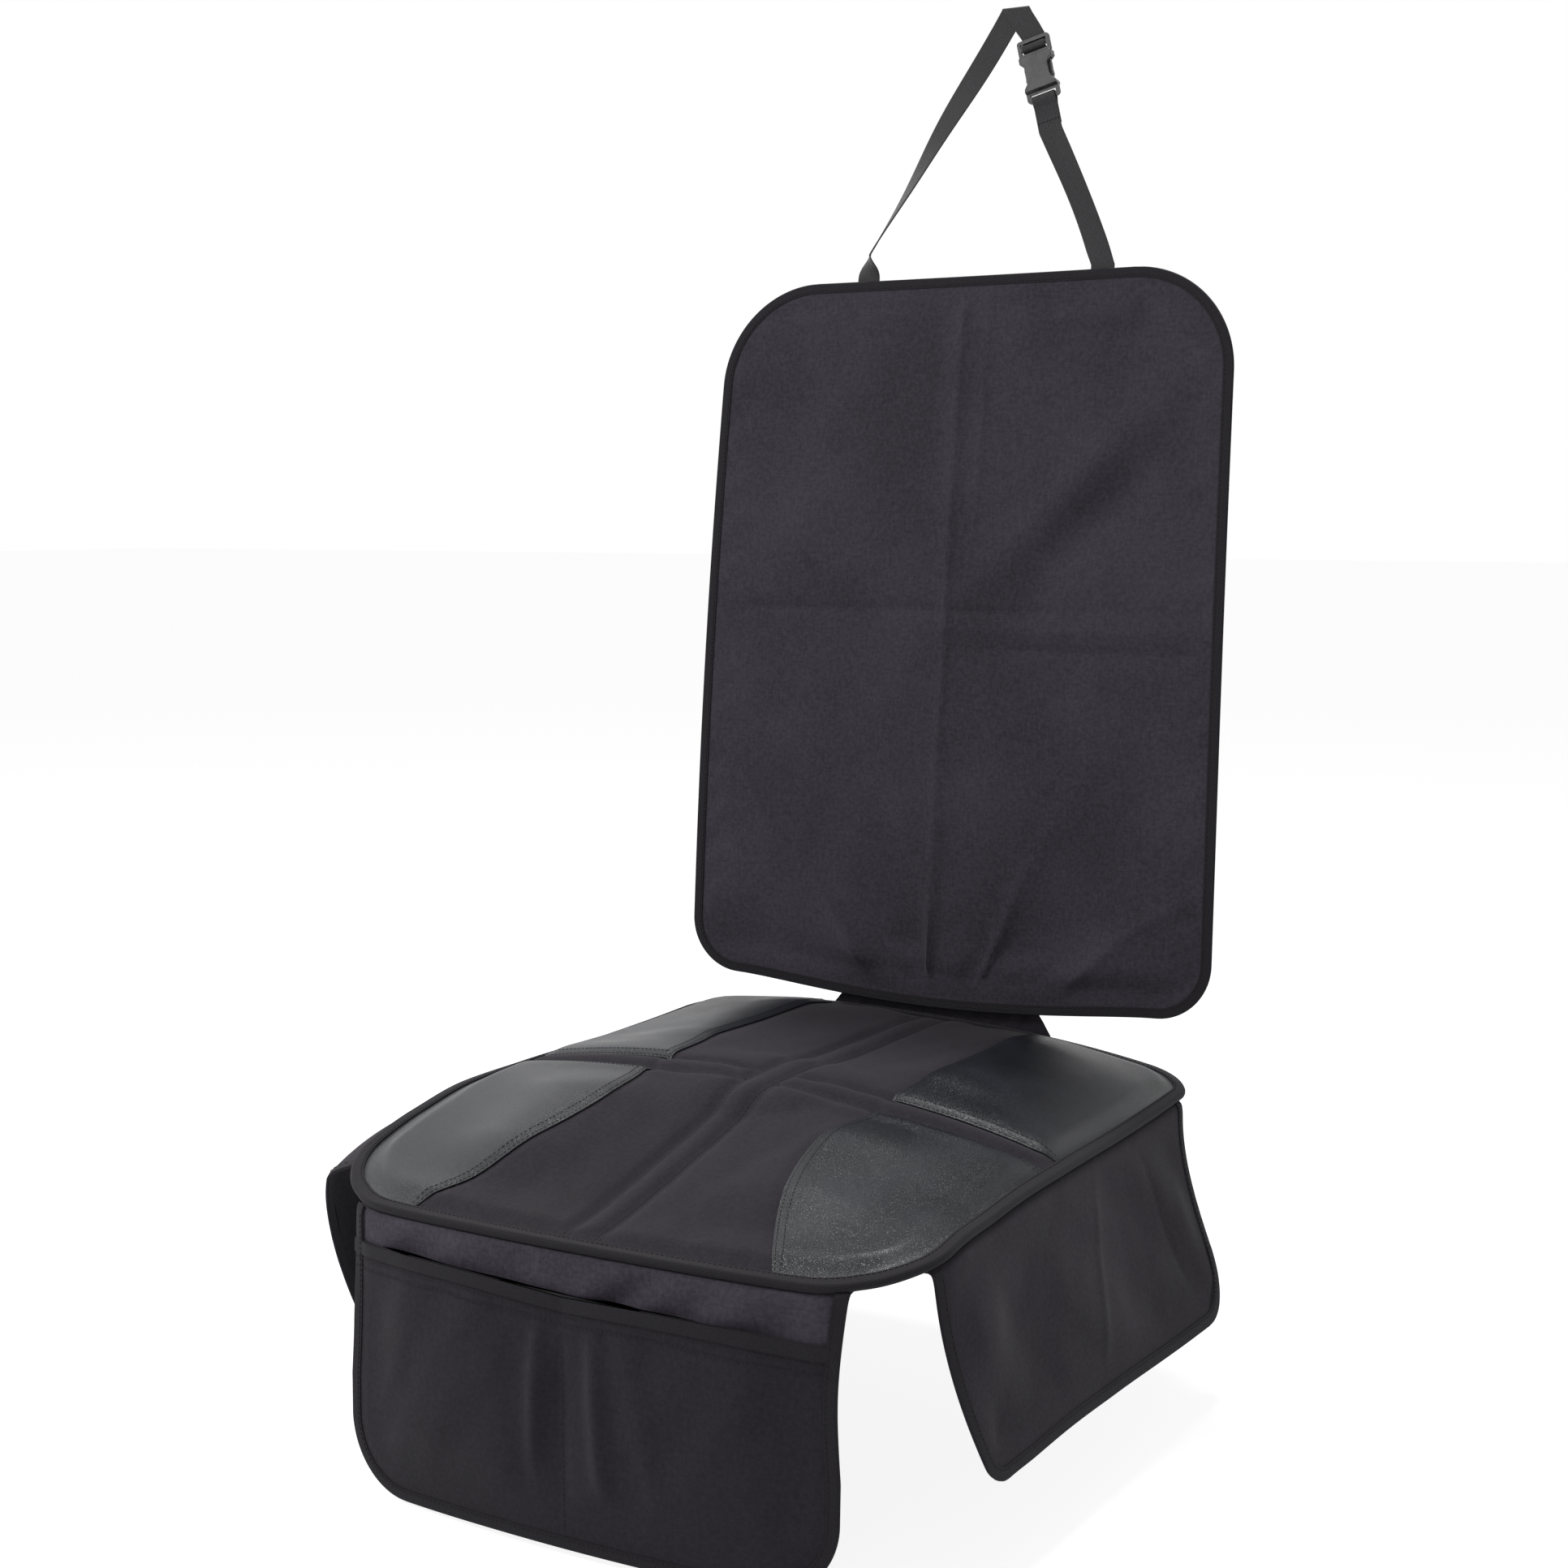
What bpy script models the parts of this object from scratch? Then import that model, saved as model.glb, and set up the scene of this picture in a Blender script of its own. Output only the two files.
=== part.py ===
"""Car seat protector mat, in the shape that it takes on a car seat.

A padded seat pad with leather-look corners lies on the seat cushion. A short cloth neck joins it to a tall
back panel, two side flaps and a front flap with two pockets hang from its edges, and a webbing strap with a
side-release buckle ties the panel's top to the headrest posts.

Metres, +X to the right, +Y to the back, +Z up. The origin is the flat middle of the pad's underside.
"""
import math

import bmesh
import bpy
from mathutils import Vector
from mathutils.bvhtree import BVHTree

NAME = "car_seat_protector_mat"
CLEARANCE = 0.0003              # gap between pieces that touch
SEWN_GAP = 0.0006               # gap between layers that a seam holds loosely
LOOSE_GAP = 0.0009              # gap over the layers that twist as they turn down at the pad's edge

# Seat pad in plan
PAD_HALF_WIDTH = 0.2245
PAD_LENGTH = 0.5295             # at its corners
PAD_FRONT = -0.2455             # front edge, where it meets the corners
PAD_REAR = PAD_FRONT + PAD_LENGTH
PAD_CORNER = 0.0415             # radius of the rear corners
PAD_FRONT_CORNER = 0.068        # radius of the front corners
PAD_FRONT_BOW = 0.019           # how far the front edge bows out in its middle
PAD_STEADY = 0.6                # share of the half width where the columns keep straight past the corners

# Seat pad in height: its underside over the middle line and over the side edges
PAD_MIDDLE = [(-0.27, -0.0485), (-0.24, -0.047), (-0.18, -0.0375), (-0.125, -0.0262), (-0.08, -0.0165),
              (-0.045, -0.0085), (0.0, 0.0), (0.057, -0.0045), (0.12, -0.008), (0.195, -0.010), (0.30, -0.0125)]
PAD_SIDE = [(-0.27, -0.060), (-0.2455, -0.0535), (-0.20, -0.0425), (-0.12, -0.0368), (0.0, -0.0367),
            (0.14, -0.0405), (0.30, -0.040)]
PAD_ROUNDNESS = 2.4             # power of the fall from the middle to the sides
PAD_FLAT = 0.030                # radius of the flat middle that rests on the cushion
PAD_FLAT_BLEND = 0.042
BOLSTER_X = 0.105               # how far from the middle the cushion's two soft ridges lie under the pad
BOLSTER_WIDTH = 0.05
BOLSTER_FRONT = 0.010           # height of the ridges in front of the cross band, and behind it
BOLSTER_REAR = 0.007
BOLSTER_FADE = 0.06             # length over which they rise and fall

# Layers of the pad
BACKING = 0.0010                # non-slip underside
FOAM = 0.0060                   # full thickness between the seams
FOAM_EDGE_SHARE = 0.12          # share of it that is left in the edge seam
FOAM_SEAM_SHARE = 0.50          # share of it that is left under a sewn line
FOAM_RISE = 0.018               # width of the slope inside the edge binding
COVER = 0.0010                  # cloth top
PATCH = 0.0009                  # leather-look corner patches

# Sewn lines of the pad
BAND_HALF = 0.012               # half the distance between the two lines of a band
BAND_Y = -0.005                 # where the cross band lies
SEAM_WIDTH = 0.010              # how far the dip beside a sewn line reaches
PATCH_REAR_EDGE = 0.092         # inner edge of the rear patches, and of the front ones by the cross band
PATCH_WAIST = 0.006             # how far the front patches' inner edge first comes in from there
PATCH_WAIST_Y = -0.075
PATCH_FRONT_SWEEP = 0.0545      # how far it then sweeps out to the front
PATCH_SWEEP_POWER = 1.7

# Edge binding
TAPE = 0.0007                   # thickness of the binding tape
LIP = 0.008                     # how far the tape reaches over the edge
REACH = 0.015                   # how far over a sheet the next one is looked for

# Back panel, measured along its slope
PANEL_HEIGHT = 0.595
PANEL_HALF_WIDTH = 0.2358
PANEL_TAPER = 0.009             # how much narrower each side is at the top
PANEL_THICK = 0.0018
PANEL_TOP_CORNER = 0.085
PANEL_FOOT_CORNER = 0.046
PANEL_DIP = 0.012               # how far the bottom edge dips to the neck
PANEL_DIP_HALF_WIDTH = 0.19
PANEL_FOOT = (PAD_REAR - 0.004, 0.0127)  # y and z of the bottom edge's front face
PANEL_LEAN = math.radians(5.4)
PANEL_BELLY = 0.007             # how far its middle comes forward
PANEL_CURL = 0.005              # how far its side edges curl forward
PANEL_CREASE = 0.0016           # height of the packing creases
PANEL_CREASE_WIDTH = 0.014
PANEL_FOLD_X = -0.004           # the upright crease
PANEL_FOLDS_V = (0.288, 0.315)  # the two level creases
PANEL_PUCKER = 0.0035           # gathers that fan out of the neck
PUCKER_RAYS = 7.0               # how closely they fan, in waves per turn
PUCKER_CENTRE = 0.05            # how far below the bottom edge they fan from
PUCKER_REACH = 0.09             # how far up they fade
PANEL_RIPPLE = 0.0022           # slanted slack on the right
RIPPLE_PITCH = 17.0             # its waves, in radians per metre
RIPPLE_SLANT = 0.7

# Neck between the pad and the panel
NECK_TOP_HALF = 0.083
NECK_FOOT_HALF = 0.099
NECK_OVERLAP = 0.014            # how far it reaches up behind the panel
NECK_FOLD = 0.6                 # where between the panel and the pad it folds
NECK_TURN_OUT = 0.5             # how far out it still is at the pad's lower edge
NECK_TURN_DOWN = 1.1            # how far it bulges under that edge
CLOTH = 0.0009                  # thickness of the neck, the flaps and the pocket

# Side flaps
TONGUE = 0.009                  # width of a flap's sewn strip under the pad
SIDE_DROP = 0.150               # how far they hang
SIDE_FRONT_Y = PAD_FRONT + 0.0425
SIDE_REAR_Y = PAD_REAR - 0.070
SIDE_FRONT_SLANT = 0.031        # how far the front edge runs back on its way down
SIDE_SLANT_POWER = 2.2
SIDE_REAR_SWEEP = 0.030         # how far the rear edge sweeps back to the top
SIDE_REAR_FALL = 0.030
SIDE_FRONT_CORNER = 0.016
SIDE_REAR_CORNER = 0.046
SIDE_FLARE_FRONT = 0.022        # how far the bottom edge stands out, at its two ends
SIDE_FLARE_REAR = 0.052
SIDE_BEND_RIGHT = 0.004         # how far each flap bulges as it turns down
SIDE_BEND_LEFT = 0.014
SIDE_WAVE = 0.0030              # folds that fan down
SIDE_FAN = 9.0                  # how closely they fan
SIDE_FAN_CENTRE = 0.45          # where along the flap they fan from
SIDE_FAN_TIGHT = 0.35           # share of their bottom width that they keep at the top
SIDE_TAPE_START = 0.010         # the edge tape starts at the first row of the grid below this drop

# Front flap and its pockets
FRONT_SEWN_HALF = PAD_HALF_WIDTH - 0.0415  # half width of its sewn strip under the pad
FRONT_HALF_WIDTH = FRONT_SEWN_HALF + 0.003
FRONT_DROP = 0.196
FRONT_NARROW = 0.003            # how much its sides draw in between the pad and the pocket
FRONT_STRAIGHT = 0.08           # how far down it hangs before it no longer follows the pad's corners
FRONT_CORNER = 0.052
FRONT_BEND = 0.0035
FRONT_SHIFT = -0.003            # the flap hangs a little to the left
FRONT_SLANT = 0.0016            # slanted ripples over the pocket
FRONT_SLANT_PITCH = 70.0        # their waves, in radians per metre
POCKET_DEPTH = 0.150            # from the mouth to the flap's bottom edge
POCKET_BULGE = 0.0115
POCKET_FULLNESS = 0.8           # power of each belly's curve across
POCKET_SAG = 0.004
POCKET_SEAM_X = -0.002
POCKET_FOLD = 0.0044            # upright folds beside the seam
POCKET_FOLD_REACH = 0.16
POCKET_FOLD_PITCH = 40.0
HEM = 0.010                     # height of the tape over the pocket's mouth

# Webbing strap, in the plane of the panel: x and height along its slope
WEBBING = 0.020
WEBBING_THICK = 0.0013
STRAP_LEFT_X = -0.097
STRAP_RIGHT_X = 0.113
STRAP_TAIL = 0.026              # sewn length behind the panel
STRAP_FREE_HEIGHT = 0.024       # height over the panel where the left leg is turned most
STRAP_TURN = math.radians(-62)
STRAP_RIGHT_TURN = math.radians(-14)
APEX = (0.0265, 0.8115)
FOLD_RADIUS = 0.0013

# Side-release buckle, in its own frame: x across, y to the back, z along the strap
BUCKLE_PLACE = (0.0512, 0.7585)
BUCKLE_TILT = math.radians(14.8)
BUCKLE_HALF_WIDTH = 0.014
BUCKLE_TOP = 0.027
BUCKLE_FOOT = -0.0256
MOUTH_Z = 0.0126                # the socket's open end
RAIL = 0.0033                   # side rails of both webbing slots
TOP_BAR = 0.0030
LADDER_SLOT = 0.0032
MIDDLE_BAR = 0.0022
PLUG_HALF_DEPTH = 0.0016
ARM_WIDTH = 0.0028
ARM_TIP_Z = -0.0115
ARM_BOW = 0.0014                # how far the finger pads stand out of the waist
TONGUE_HALF = 0.003
TONGUE_TIP_Z = -0.006
SOCKET_HALF_DEPTH = 0.0045
SOCKET_WAIST = 0.0095           # half width at the finger windows
SOCKET_WINDOW = (-0.0115, 0.0062)
SOCKET_WALL = 0.0016
CAVITY_FLOOR_Z = -0.0135
FOOT_BAR = 0.0032
FOOT_SLOT = 0.0036
FOOT_HALF_DEPTH = 0.0017
EDGE_BREAK = 0.0004             # chamfer on the moulded edges
LOOP_SEWN = 0.022               # sewn double length under the buckle

# Colours as red, green, blue, then roughness
CHARCOAL = (0.022, 0.020, 0.025, 0.85)
BLACK_TAPE = (0.010, 0.009, 0.012, 0.75)
LEATHER = (0.020, 0.022, 0.025, 0.42)
GREY_FOAM = (0.18, 0.18, 0.19, 0.95)
NON_SLIP = (0.030, 0.030, 0.032, 0.90)
BLACK_WEBBING = (0.012, 0.011, 0.014, 0.70)
BLACK_PLASTIC = (0.015, 0.015, 0.016, 0.35)


def clear_scene():
    """Remove what the open file holds."""
    for item in list(bpy.data.objects):
        bpy.data.objects.remove(item)


def new_collection(name, visible=True):
    """A collection for the part, or for its cutters."""
    group = bpy.data.collections.new(name)
    bpy.context.scene.collection.children.link(group)
    group.hide_render = not visible
    return group


def new_material(name, colour):
    """A plain shader with the piece's colour and roughness."""
    material = bpy.data.materials.new(name)
    material.use_nodes = True
    shader = material.node_tree.nodes["Principled BSDF"]
    shader.inputs["Base Color"].default_value = (*colour[:3], 1.0)
    shader.inputs["Roughness"].default_value = colour[3]
    shader.inputs["Metallic"].default_value = 0.0
    return material


def finish(name, mesh, colour, group):
    """Make the named object of a mesh, smooth where it is round."""
    mesh.name = name
    mesh.shade_smooth()
    mesh.set_sharp_from_angle(angle=math.radians(40))
    piece = bpy.data.objects.new(name, mesh)
    group.objects.link(piece)
    mesh.materials.clear()
    mesh.materials.append(new_material(name, colour))
    return piece


def smooth(share):
    """Ease from 0 to 1."""
    share = min(max(share, 0.0), 1.0)
    return share * share * (3.0 - 2.0 * share)


def mix(first, last, share):
    """Value between two others."""
    return first + (last - first) * share


def through(points, place):
    """Smooth value at a place, through points of (place, value)."""
    last = len(points) - 2
    at = max(i for i in range(last + 1) if points[i][0] <= place or i == 0)
    (x0, y0), (x1, y1) = points[at], points[at + 1]

    def slope(i):
        low, high = points[max(i - 1, 0)], points[min(i + 1, last + 1)]
        return (high[1] - low[1]) / (high[0] - low[0])

    span = x1 - x0
    share = (place - x0) / span
    start = y0 + slope(at) * span * share
    end = y1 - slope(at + 1) * span * (1.0 - share)
    return mix(start, end, smooth(share))


def steps(first, last, count):
    """Evenly spaced values, both ends included."""
    return [mix(first, last, i / count) for i in range(count + 1)]


def corner_steps(radius):
    """Depths into a round corner, spread along its arc, one of them at the binding's inner edge."""
    at_lip = math.acos(1.0 - min(LIP / radius, 1.0))
    angles = steps(0.0, at_lip, 2) + steps(at_lip, math.pi / 2, 3)[1:]
    return [radius * (1.0 - math.cos(angle)) for angle in angles]


def corner_cut(depth, radius):
    """How much a round corner takes off the width at a depth from the end."""
    if depth >= radius:
        return 0.0
    return radius - math.sqrt(max(radius ** 2 - (radius - depth) ** 2, 0.0))


def edge_distance(to_side, to_end, radius):
    """Distance from the outline, from the distances to its side and its end, with a round corner between."""
    if to_side < radius and to_end < radius:
        return radius - math.hypot(radius - to_side, radius - to_end)
    return min(to_side, to_end)


def joined(*lists):
    """One rising list of the lists' values, each once."""
    values = []
    for value in sorted(v for part in lists for v in part):
        if not values or value - values[-1] > 0.0005:
            values.append(value)
    return values


def sheet_mesh(place, columns, rows, weight=None):
    """A grid whose points are moved to place(column, row), with a weight for each point if asked for."""
    mesh = bpy.data.meshes.new("sheet")
    bm = bmesh.new()
    bmesh.ops.create_grid(bm, x_segments=len(columns) - 1, y_segments=len(rows) - 1, size=1.0)
    weights = bm.verts.layers.deform.verify() if weight else None
    for vert in bm.verts:
        column = columns[round((vert.co.x + 1.0) / 2.0 * (len(columns) - 1))]
        row = rows[round((vert.co.y + 1.0) / 2.0 * (len(rows) - 1))]
        vert.co = place(column, row)
        if weight:
            vert[weights][0] = weight(column, row)
    bmesh.ops.remove_doubles(bm, verts=bm.verts, dist=0.00001)
    bm.to_mesh(mesh)
    bm.free()
    return mesh


def thicken(piece, thickness, offset):
    """Give a sheet its thickness, along its normals."""
    solid = piece.modifiers.new("thickness", "SOLIDIFY")
    solid.thickness = thickness
    solid.offset = offset
    solid.use_even_offset = True
    solid.use_quality_normals = True
    return solid


def cloth(name, place, columns, rows, thickness, offset, colour, group):
    """A piece of cloth as a thick grid. Offset 1 grows to the side of columns x rows."""
    piece = finish(name, sheet_mesh(place, columns, rows), colour, group)
    thicken(piece, thickness, offset)
    return piece


def normal_at(place, column, row, step=0.0005):
    """Unit normal of a surface, to the side of columns x rows."""
    across = place(column + step, row) - place(column - step, row)
    along = place(column, row + step) - place(column, row - step)
    return across.cross(along).normalized()


def edge_frames(points, normals, closed, outward=1.0):
    """Point, outward direction and normal at each step along an edge."""
    frames = []
    count = len(points)
    for i, point in enumerate(points):
        before = points[(i - 1) % count] if closed or i > 0 else points[i]
        after = points[(i + 1) % count] if closed or i < count - 1 else points[i]
        tangent = (after - before).normalized()
        frames.append((point, outward * tangent.cross(normals[i]).normalized(), normals[i]))
    return frames


def sheet_tree(sheet):
    """Search tree of a sheet's base surface."""
    mesh = sheet.data
    return BVHTree.FromPolygons([v.co for v in mesh.vertices], [f.vertices for f in mesh.polygons])


def binding(name, layers, frames, low, high, lip, closed, outward, group):
    """Tape folded round an edge, at low under the base sheet's face and at high over it.

    Layers are the base sheet, the sheet over it or None, and the height from that one to the tape.
    The tape's inner edges lie on the sheets. Outward is as for the frames."""
    base, over, rise = layers
    skin = sheet_tree(base)
    top = sheet_tree(over) if over else None
    folds = []
    for point, away, normal in frames:
        inner, face_normal, _, _ = skin.find_nearest(point - away * lip)
        inner_normal = face_normal if face_normal.dot(normal) > 0.0 else -face_normal
        inner_high = high
        if top:
            distance = top.ray_cast(inner, inner_normal, REACH)[3]
            inner_high = max(high, (distance or 0.0) + rise)
        edge = point + away * CLEARANCE
        folds.append([inner + inner_normal * low, edge + normal * low,
                      edge + normal * high, inner + inner_normal * inner_high])
    if closed:
        folds.append(folds[0])

    def place(at, corner):
        return folds[at][corner]

    piece = finish(name, sheet_mesh(place, list(range(len(folds))), [0, 1, 2, 3]), BLACK_TAPE, group)
    thicken(piece, TAPE, outward)
    return piece


def corner_at(y):
    """Radius of the pad's corners at the end that a row is nearer to."""
    return PAD_FRONT_CORNER if y < (PAD_FRONT + PAD_REAR) / 2 else PAD_CORNER


def pad_width(y):
    """Half width of the pad at a row, with its corners rounded."""
    depth = min(y - PAD_FRONT, PAD_REAR - y)
    return PAD_HALF_WIDTH - corner_cut(max(depth, 0.0), corner_at(y))


def patch_edge(y):
    """Inner edge of the corner patches, before the pad's corners are rounded."""
    start = BAND_Y - BAND_HALF
    waist = PATCH_WAIST * smooth((start - y) / (start - PATCH_WAIST_Y))
    swept = max(PATCH_WAIST_Y - y, 0.0) / (PATCH_WAIST_Y - PAD_FRONT)
    edge = PATCH_REAR_EDGE - waist + PATCH_FRONT_SWEEP * swept ** PATCH_SWEEP_POWER
    steady = PAD_HALF_WIDTH * PAD_STEADY
    if edge <= steady:
        return edge
    return steady + (edge - steady) * (PAD_HALF_WIDTH - steady) / (pad_width(y) - steady)


def pad_columns():
    """Column numbers of the pad's grid, counted from its middle."""
    return [-8, -7, -6, -5, -4, -3, -2, -1, 1, 2, 3, 4, 5, 6, 7, 8]


def pad_rows():
    """Rows of the pad's grid, from front to rear, with the cross band's two lines among them."""
    front = PAD_FRONT + PAD_FRONT_CORNER
    rear = PAD_REAR - PAD_CORNER
    low, high = BAND_Y - BAND_HALF, BAND_Y + BAND_HALF
    return joined([PAD_FRONT + d for d in corner_steps(PAD_FRONT_CORNER)],
                  steps(front, low - 1.6 * SEAM_WIDTH, 4),
                  [low, high],
                  steps(high + 1.6 * SEAM_WIDTH, rear, 4),
                  [PAD_REAR - d for d in corner_steps(PAD_CORNER)])


def column_x(column, y):
    """Distance from the middle of a grid column, before the corners are rounded."""
    slope = PAD_HALF_WIDTH - LIP - FOAM_RISE
    inner = patch_edge(y)
    first = BAND_HALF + 1.6 * SEAM_WIDTH
    places = [BAND_HALF, first, mix(first, inner, 0.55), inner, mix(inner, slope, 0.5),
              slope, PAD_HALF_WIDTH - LIP, PAD_HALF_WIDTH]
    low = int(abs(column))
    share = abs(column) - low
    distance = places[max(low, 1) - 1]
    if share > 0.0 and low < len(places):
        distance = mix(distance, places[low], share)
    return math.copysign(distance, column)


def pad_plan(x, y):
    """Round the pad's corners and bow its front edge."""
    steady = PAD_HALF_WIDTH * PAD_STEADY
    if abs(x) > steady:
        share = (abs(x) - steady) / (PAD_HALF_WIDTH - steady)
        x = math.copysign(steady + share * (pad_width(y) - steady), x)
    bow = max(1.0 - (x / (PAD_HALF_WIDTH * 0.85)) ** 2, 0.0)
    fade = smooth((PAD_REAR - y) / (PAD_REAR - PAD_FRONT)) ** 3
    return x, y - PAD_FRONT_BOW * bow * fade


def pad_base(x, y):
    """Height of the pad's underside over a point in plan."""
    middle = through(PAD_MIDDLE, y)
    side = through(PAD_SIDE, y)
    height = mix(middle, side, (abs(x) / PAD_HALF_WIDTH) ** PAD_ROUNDNESS)
    start, end = PAD_FRONT + BOLSTER_FADE / 2, PAD_REAR - BOLSTER_FADE / 6
    ridge = BOLSTER_FRONT * smooth((-BOLSTER_FADE / 2 - y) / BOLSTER_FADE) * smooth((y - start) / BOLSTER_FADE)
    ridge += BOLSTER_REAR * smooth((y - BOLSTER_FADE / 3) / BOLSTER_FADE) * smooth((end - y) / BOLSTER_FADE)
    height += ridge * math.exp(-((abs(x) - BOLSTER_X) / BOLSTER_WIDTH) ** 2)
    return height * smooth((math.hypot(x, y) - PAD_FLAT) / PAD_FLAT_BLEND)


def over_pad(x, y, lift):
    """Point over the pad's underside at a place in plan, lifted along the normal."""
    step = 0.001
    slope_x = (pad_base(x + step, y) - pad_base(x - step, y)) / (2 * step)
    slope_y = (pad_base(x, y + step) - pad_base(x, y - step)) / (2 * step)
    normal = Vector((-slope_x, -slope_y, 1.0)).normalized()
    return Vector((x, y, pad_base(x, y))) + normal * lift


def pad_point(x, y, lift):
    """Point over the pad's underside, from coordinates before its corners are rounded."""
    return over_pad(*pad_plan(x, y), lift)


def foam_share(x, y):
    """Share of the foam's full thickness: thin in the edge seam and under the sewn lines."""
    rounded_x = pad_plan(x, y)[0]
    depth = edge_distance(PAD_HALF_WIDTH - abs(rounded_x), min(y - PAD_FRONT, PAD_REAR - y), corner_at(y))
    rise = smooth((depth - LIP) / FOAM_RISE)
    to_line = min(abs(abs(x) - BAND_HALF), abs(abs(y - BAND_Y) - BAND_HALF))
    dip = 1.0 - (1.0 - FOAM_SEAM_SHARE) * math.exp(-(to_line / SEAM_WIDTH) ** 2)
    return mix(FOAM_EDGE_SHARE, 1.0, rise) * mix(1.0, dip, rise)


def foam_bottom():
    """Height of the foam's underside in the stack."""
    return BACKING + CLEARANCE


def cover_bottom(x, y):
    """Height of the cloth cover's underside in the stack."""
    return foam_bottom() + FOAM * foam_share(x, y) + CLEARANCE


def patch_bottom(x, y):
    """Height of the corner patches' underside in the stack."""
    return cover_bottom(x, y) + COVER + CLEARANCE


def edge_stack():
    """Height of the whole stack in the edge seam."""
    return patch_bottom(PAD_HALF_WIDTH, 0.0) + PATCH


def under_binding():
    """Depth of the first free level under the pad's binding."""
    return CLEARANCE + TAPE + SEWN_GAP


def make_pad(group):
    """The pad's backing, foam and cloth cover, on one grid."""
    columns, rows = pad_columns(), pad_rows()

    def layer(lift):
        def place(column, row):
            x = column_x(column, row)
            return pad_point(x, row, lift(x, row))
        return place

    backing = cloth("seat_backing", layer(lambda x, y: 0.0), columns, rows, BACKING, 1.0, NON_SLIP, group)
    cover = cloth("seat_cover", layer(cover_bottom), columns, rows, COVER, 1.0, CHARCOAL, group)

    def share(column, row):
        return foam_share(column_x(column, row), row)

    mesh = sheet_mesh(layer(lambda x, y: foam_bottom()), columns, rows, share)
    foam = finish("seat_foam", mesh, GREY_FOAM, group)
    foam.vertex_groups.new(name="share")
    thicken(foam, FOAM, 1.0).vertex_group = "share"
    return backing, cover


def make_patches(group):
    """Four leather-look patches on the cover's corners."""
    rows = pad_rows()
    low, high = BAND_Y - BAND_HALF, BAND_Y + BAND_HALF
    ends = {"front": [r for r in rows if r <= low + 1e-6], "rear": [r for r in rows if r >= high - 1e-6]}
    sides = {"left": [c for c in pad_columns() if c <= -4], "right": [c for c in pad_columns() if c >= 4]}

    def place(column, row):
        x = column_x(column, row)
        return pad_point(x, row, patch_bottom(x, row))

    for end, some_rows in ends.items():
        for side, some_columns in sides.items():
            name = f"corner_patch_{end}_{side}"
            cloth(name, place, some_columns, some_rows, PATCH, 1.0, LEATHER, group)


def make_seat_binding(backing, cover, group):
    """Tape round the whole edge of the pad."""
    columns, rows = pad_columns(), pad_rows()
    outline = [(c, rows[0]) for c in columns]
    outline += [(columns[-1], r) for r in rows[1:]]
    outline += [(c, rows[-1]) for c in reversed(columns[:-1])]
    outline += [(columns[0], r) for r in reversed(rows[1:-1])]
    points = [pad_point(column_x(c, r), r, 0.0) for c, r in outline]
    normals = [(pad_point(column_x(c, r), r, 1.0) - p).normalized() for (c, r), p in zip(outline, points)]
    frames = edge_frames(points, normals, True)
    layers = (backing, cover, COVER + CLEARANCE + PATCH + LOOSE_GAP)
    binding("seat_binding", layers, frames, -CLEARANCE, edge_stack() + LOOSE_GAP, LIP, True, 1.0, group)


def panel_plan(x, v):
    """Round the panel's corners, narrow its top and dip its bottom edge."""
    width = PANEL_HALF_WIDTH - PANEL_TAPER * max(v / PANEL_HEIGHT, 0.0) ** 1.5
    cut = corner_cut(max(v, 0.0), PANEL_FOOT_CORNER) + corner_cut(max(PANEL_HEIGHT - v, 0.0), PANEL_TOP_CORNER)
    x = x * (width - cut) / PANEL_HALF_WIDTH
    dip = max(1.0 - (x / PANEL_DIP_HALF_WIDTH) ** 2, 0.0) ** 1.4
    return x, v - PANEL_DIP * dip * smooth(1.0 - v / (0.35 * PANEL_HEIGHT))


def panel_relief(x, v):
    """Packing creases and gathers, flat beside the binding."""
    upright = math.exp(-abs(x - PANEL_FOLD_X) / PANEL_CREASE_WIDTH)
    level = sum(math.exp(-abs(v - fold) / PANEL_CREASE_WIDTH) for fold in PANEL_FOLDS_V)
    creases = PANEL_CREASE * (0.6 * upright - 0.8 * level)
    angle = math.atan2(x, v + PUCKER_CENTRE)
    near = math.exp(-max(v, 0.0) / PUCKER_REACH) * smooth(v / 0.03)
    gathers = PANEL_PUCKER * math.sin(PUCKER_RAYS * angle + 0.6) * near
    ripple = PANEL_RIPPLE * math.sin(RIPPLE_PITCH * (x + RIPPLE_SLANT * v))
    ripple *= smooth(v / 0.2) * smooth((x + 0.1) / 0.2)
    inside = smooth((PANEL_HALF_WIDTH - abs(x) - 1.2 * LIP) / 0.03)
    inside *= smooth((v - 1.2 * LIP) / 0.03) * smooth((PANEL_HEIGHT - v - 1.2 * LIP) / 0.03)
    return (creases + gathers + ripple) * inside


def on_panel(x, v, behind=0.0):
    """Point in the panel's plane, x across and v up the slope, some way behind its front face."""
    y, z = PANEL_FOOT
    y += v * math.sin(PANEL_LEAN) + behind * math.cos(PANEL_LEAN)
    z += v * math.cos(PANEL_LEAN) - behind * math.sin(PANEL_LEAN)
    return Vector((x, y, z))


def panel_ahead(x, v):
    """How far the panel's belly and its curled sides stand forward."""
    belly = PANEL_BELLY * math.sin(math.pi * min(max(v / PANEL_HEIGHT, 0.0), 1.0))
    return belly + PANEL_CURL * (x / PANEL_HALF_WIDTH) ** 2


def panel_point(x, v):
    """Point of the panel's front face."""
    relief = panel_relief(x, v)
    x, v = panel_plan(x, v)
    return on_panel(x, v, -panel_ahead(x, v) - relief)


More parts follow.
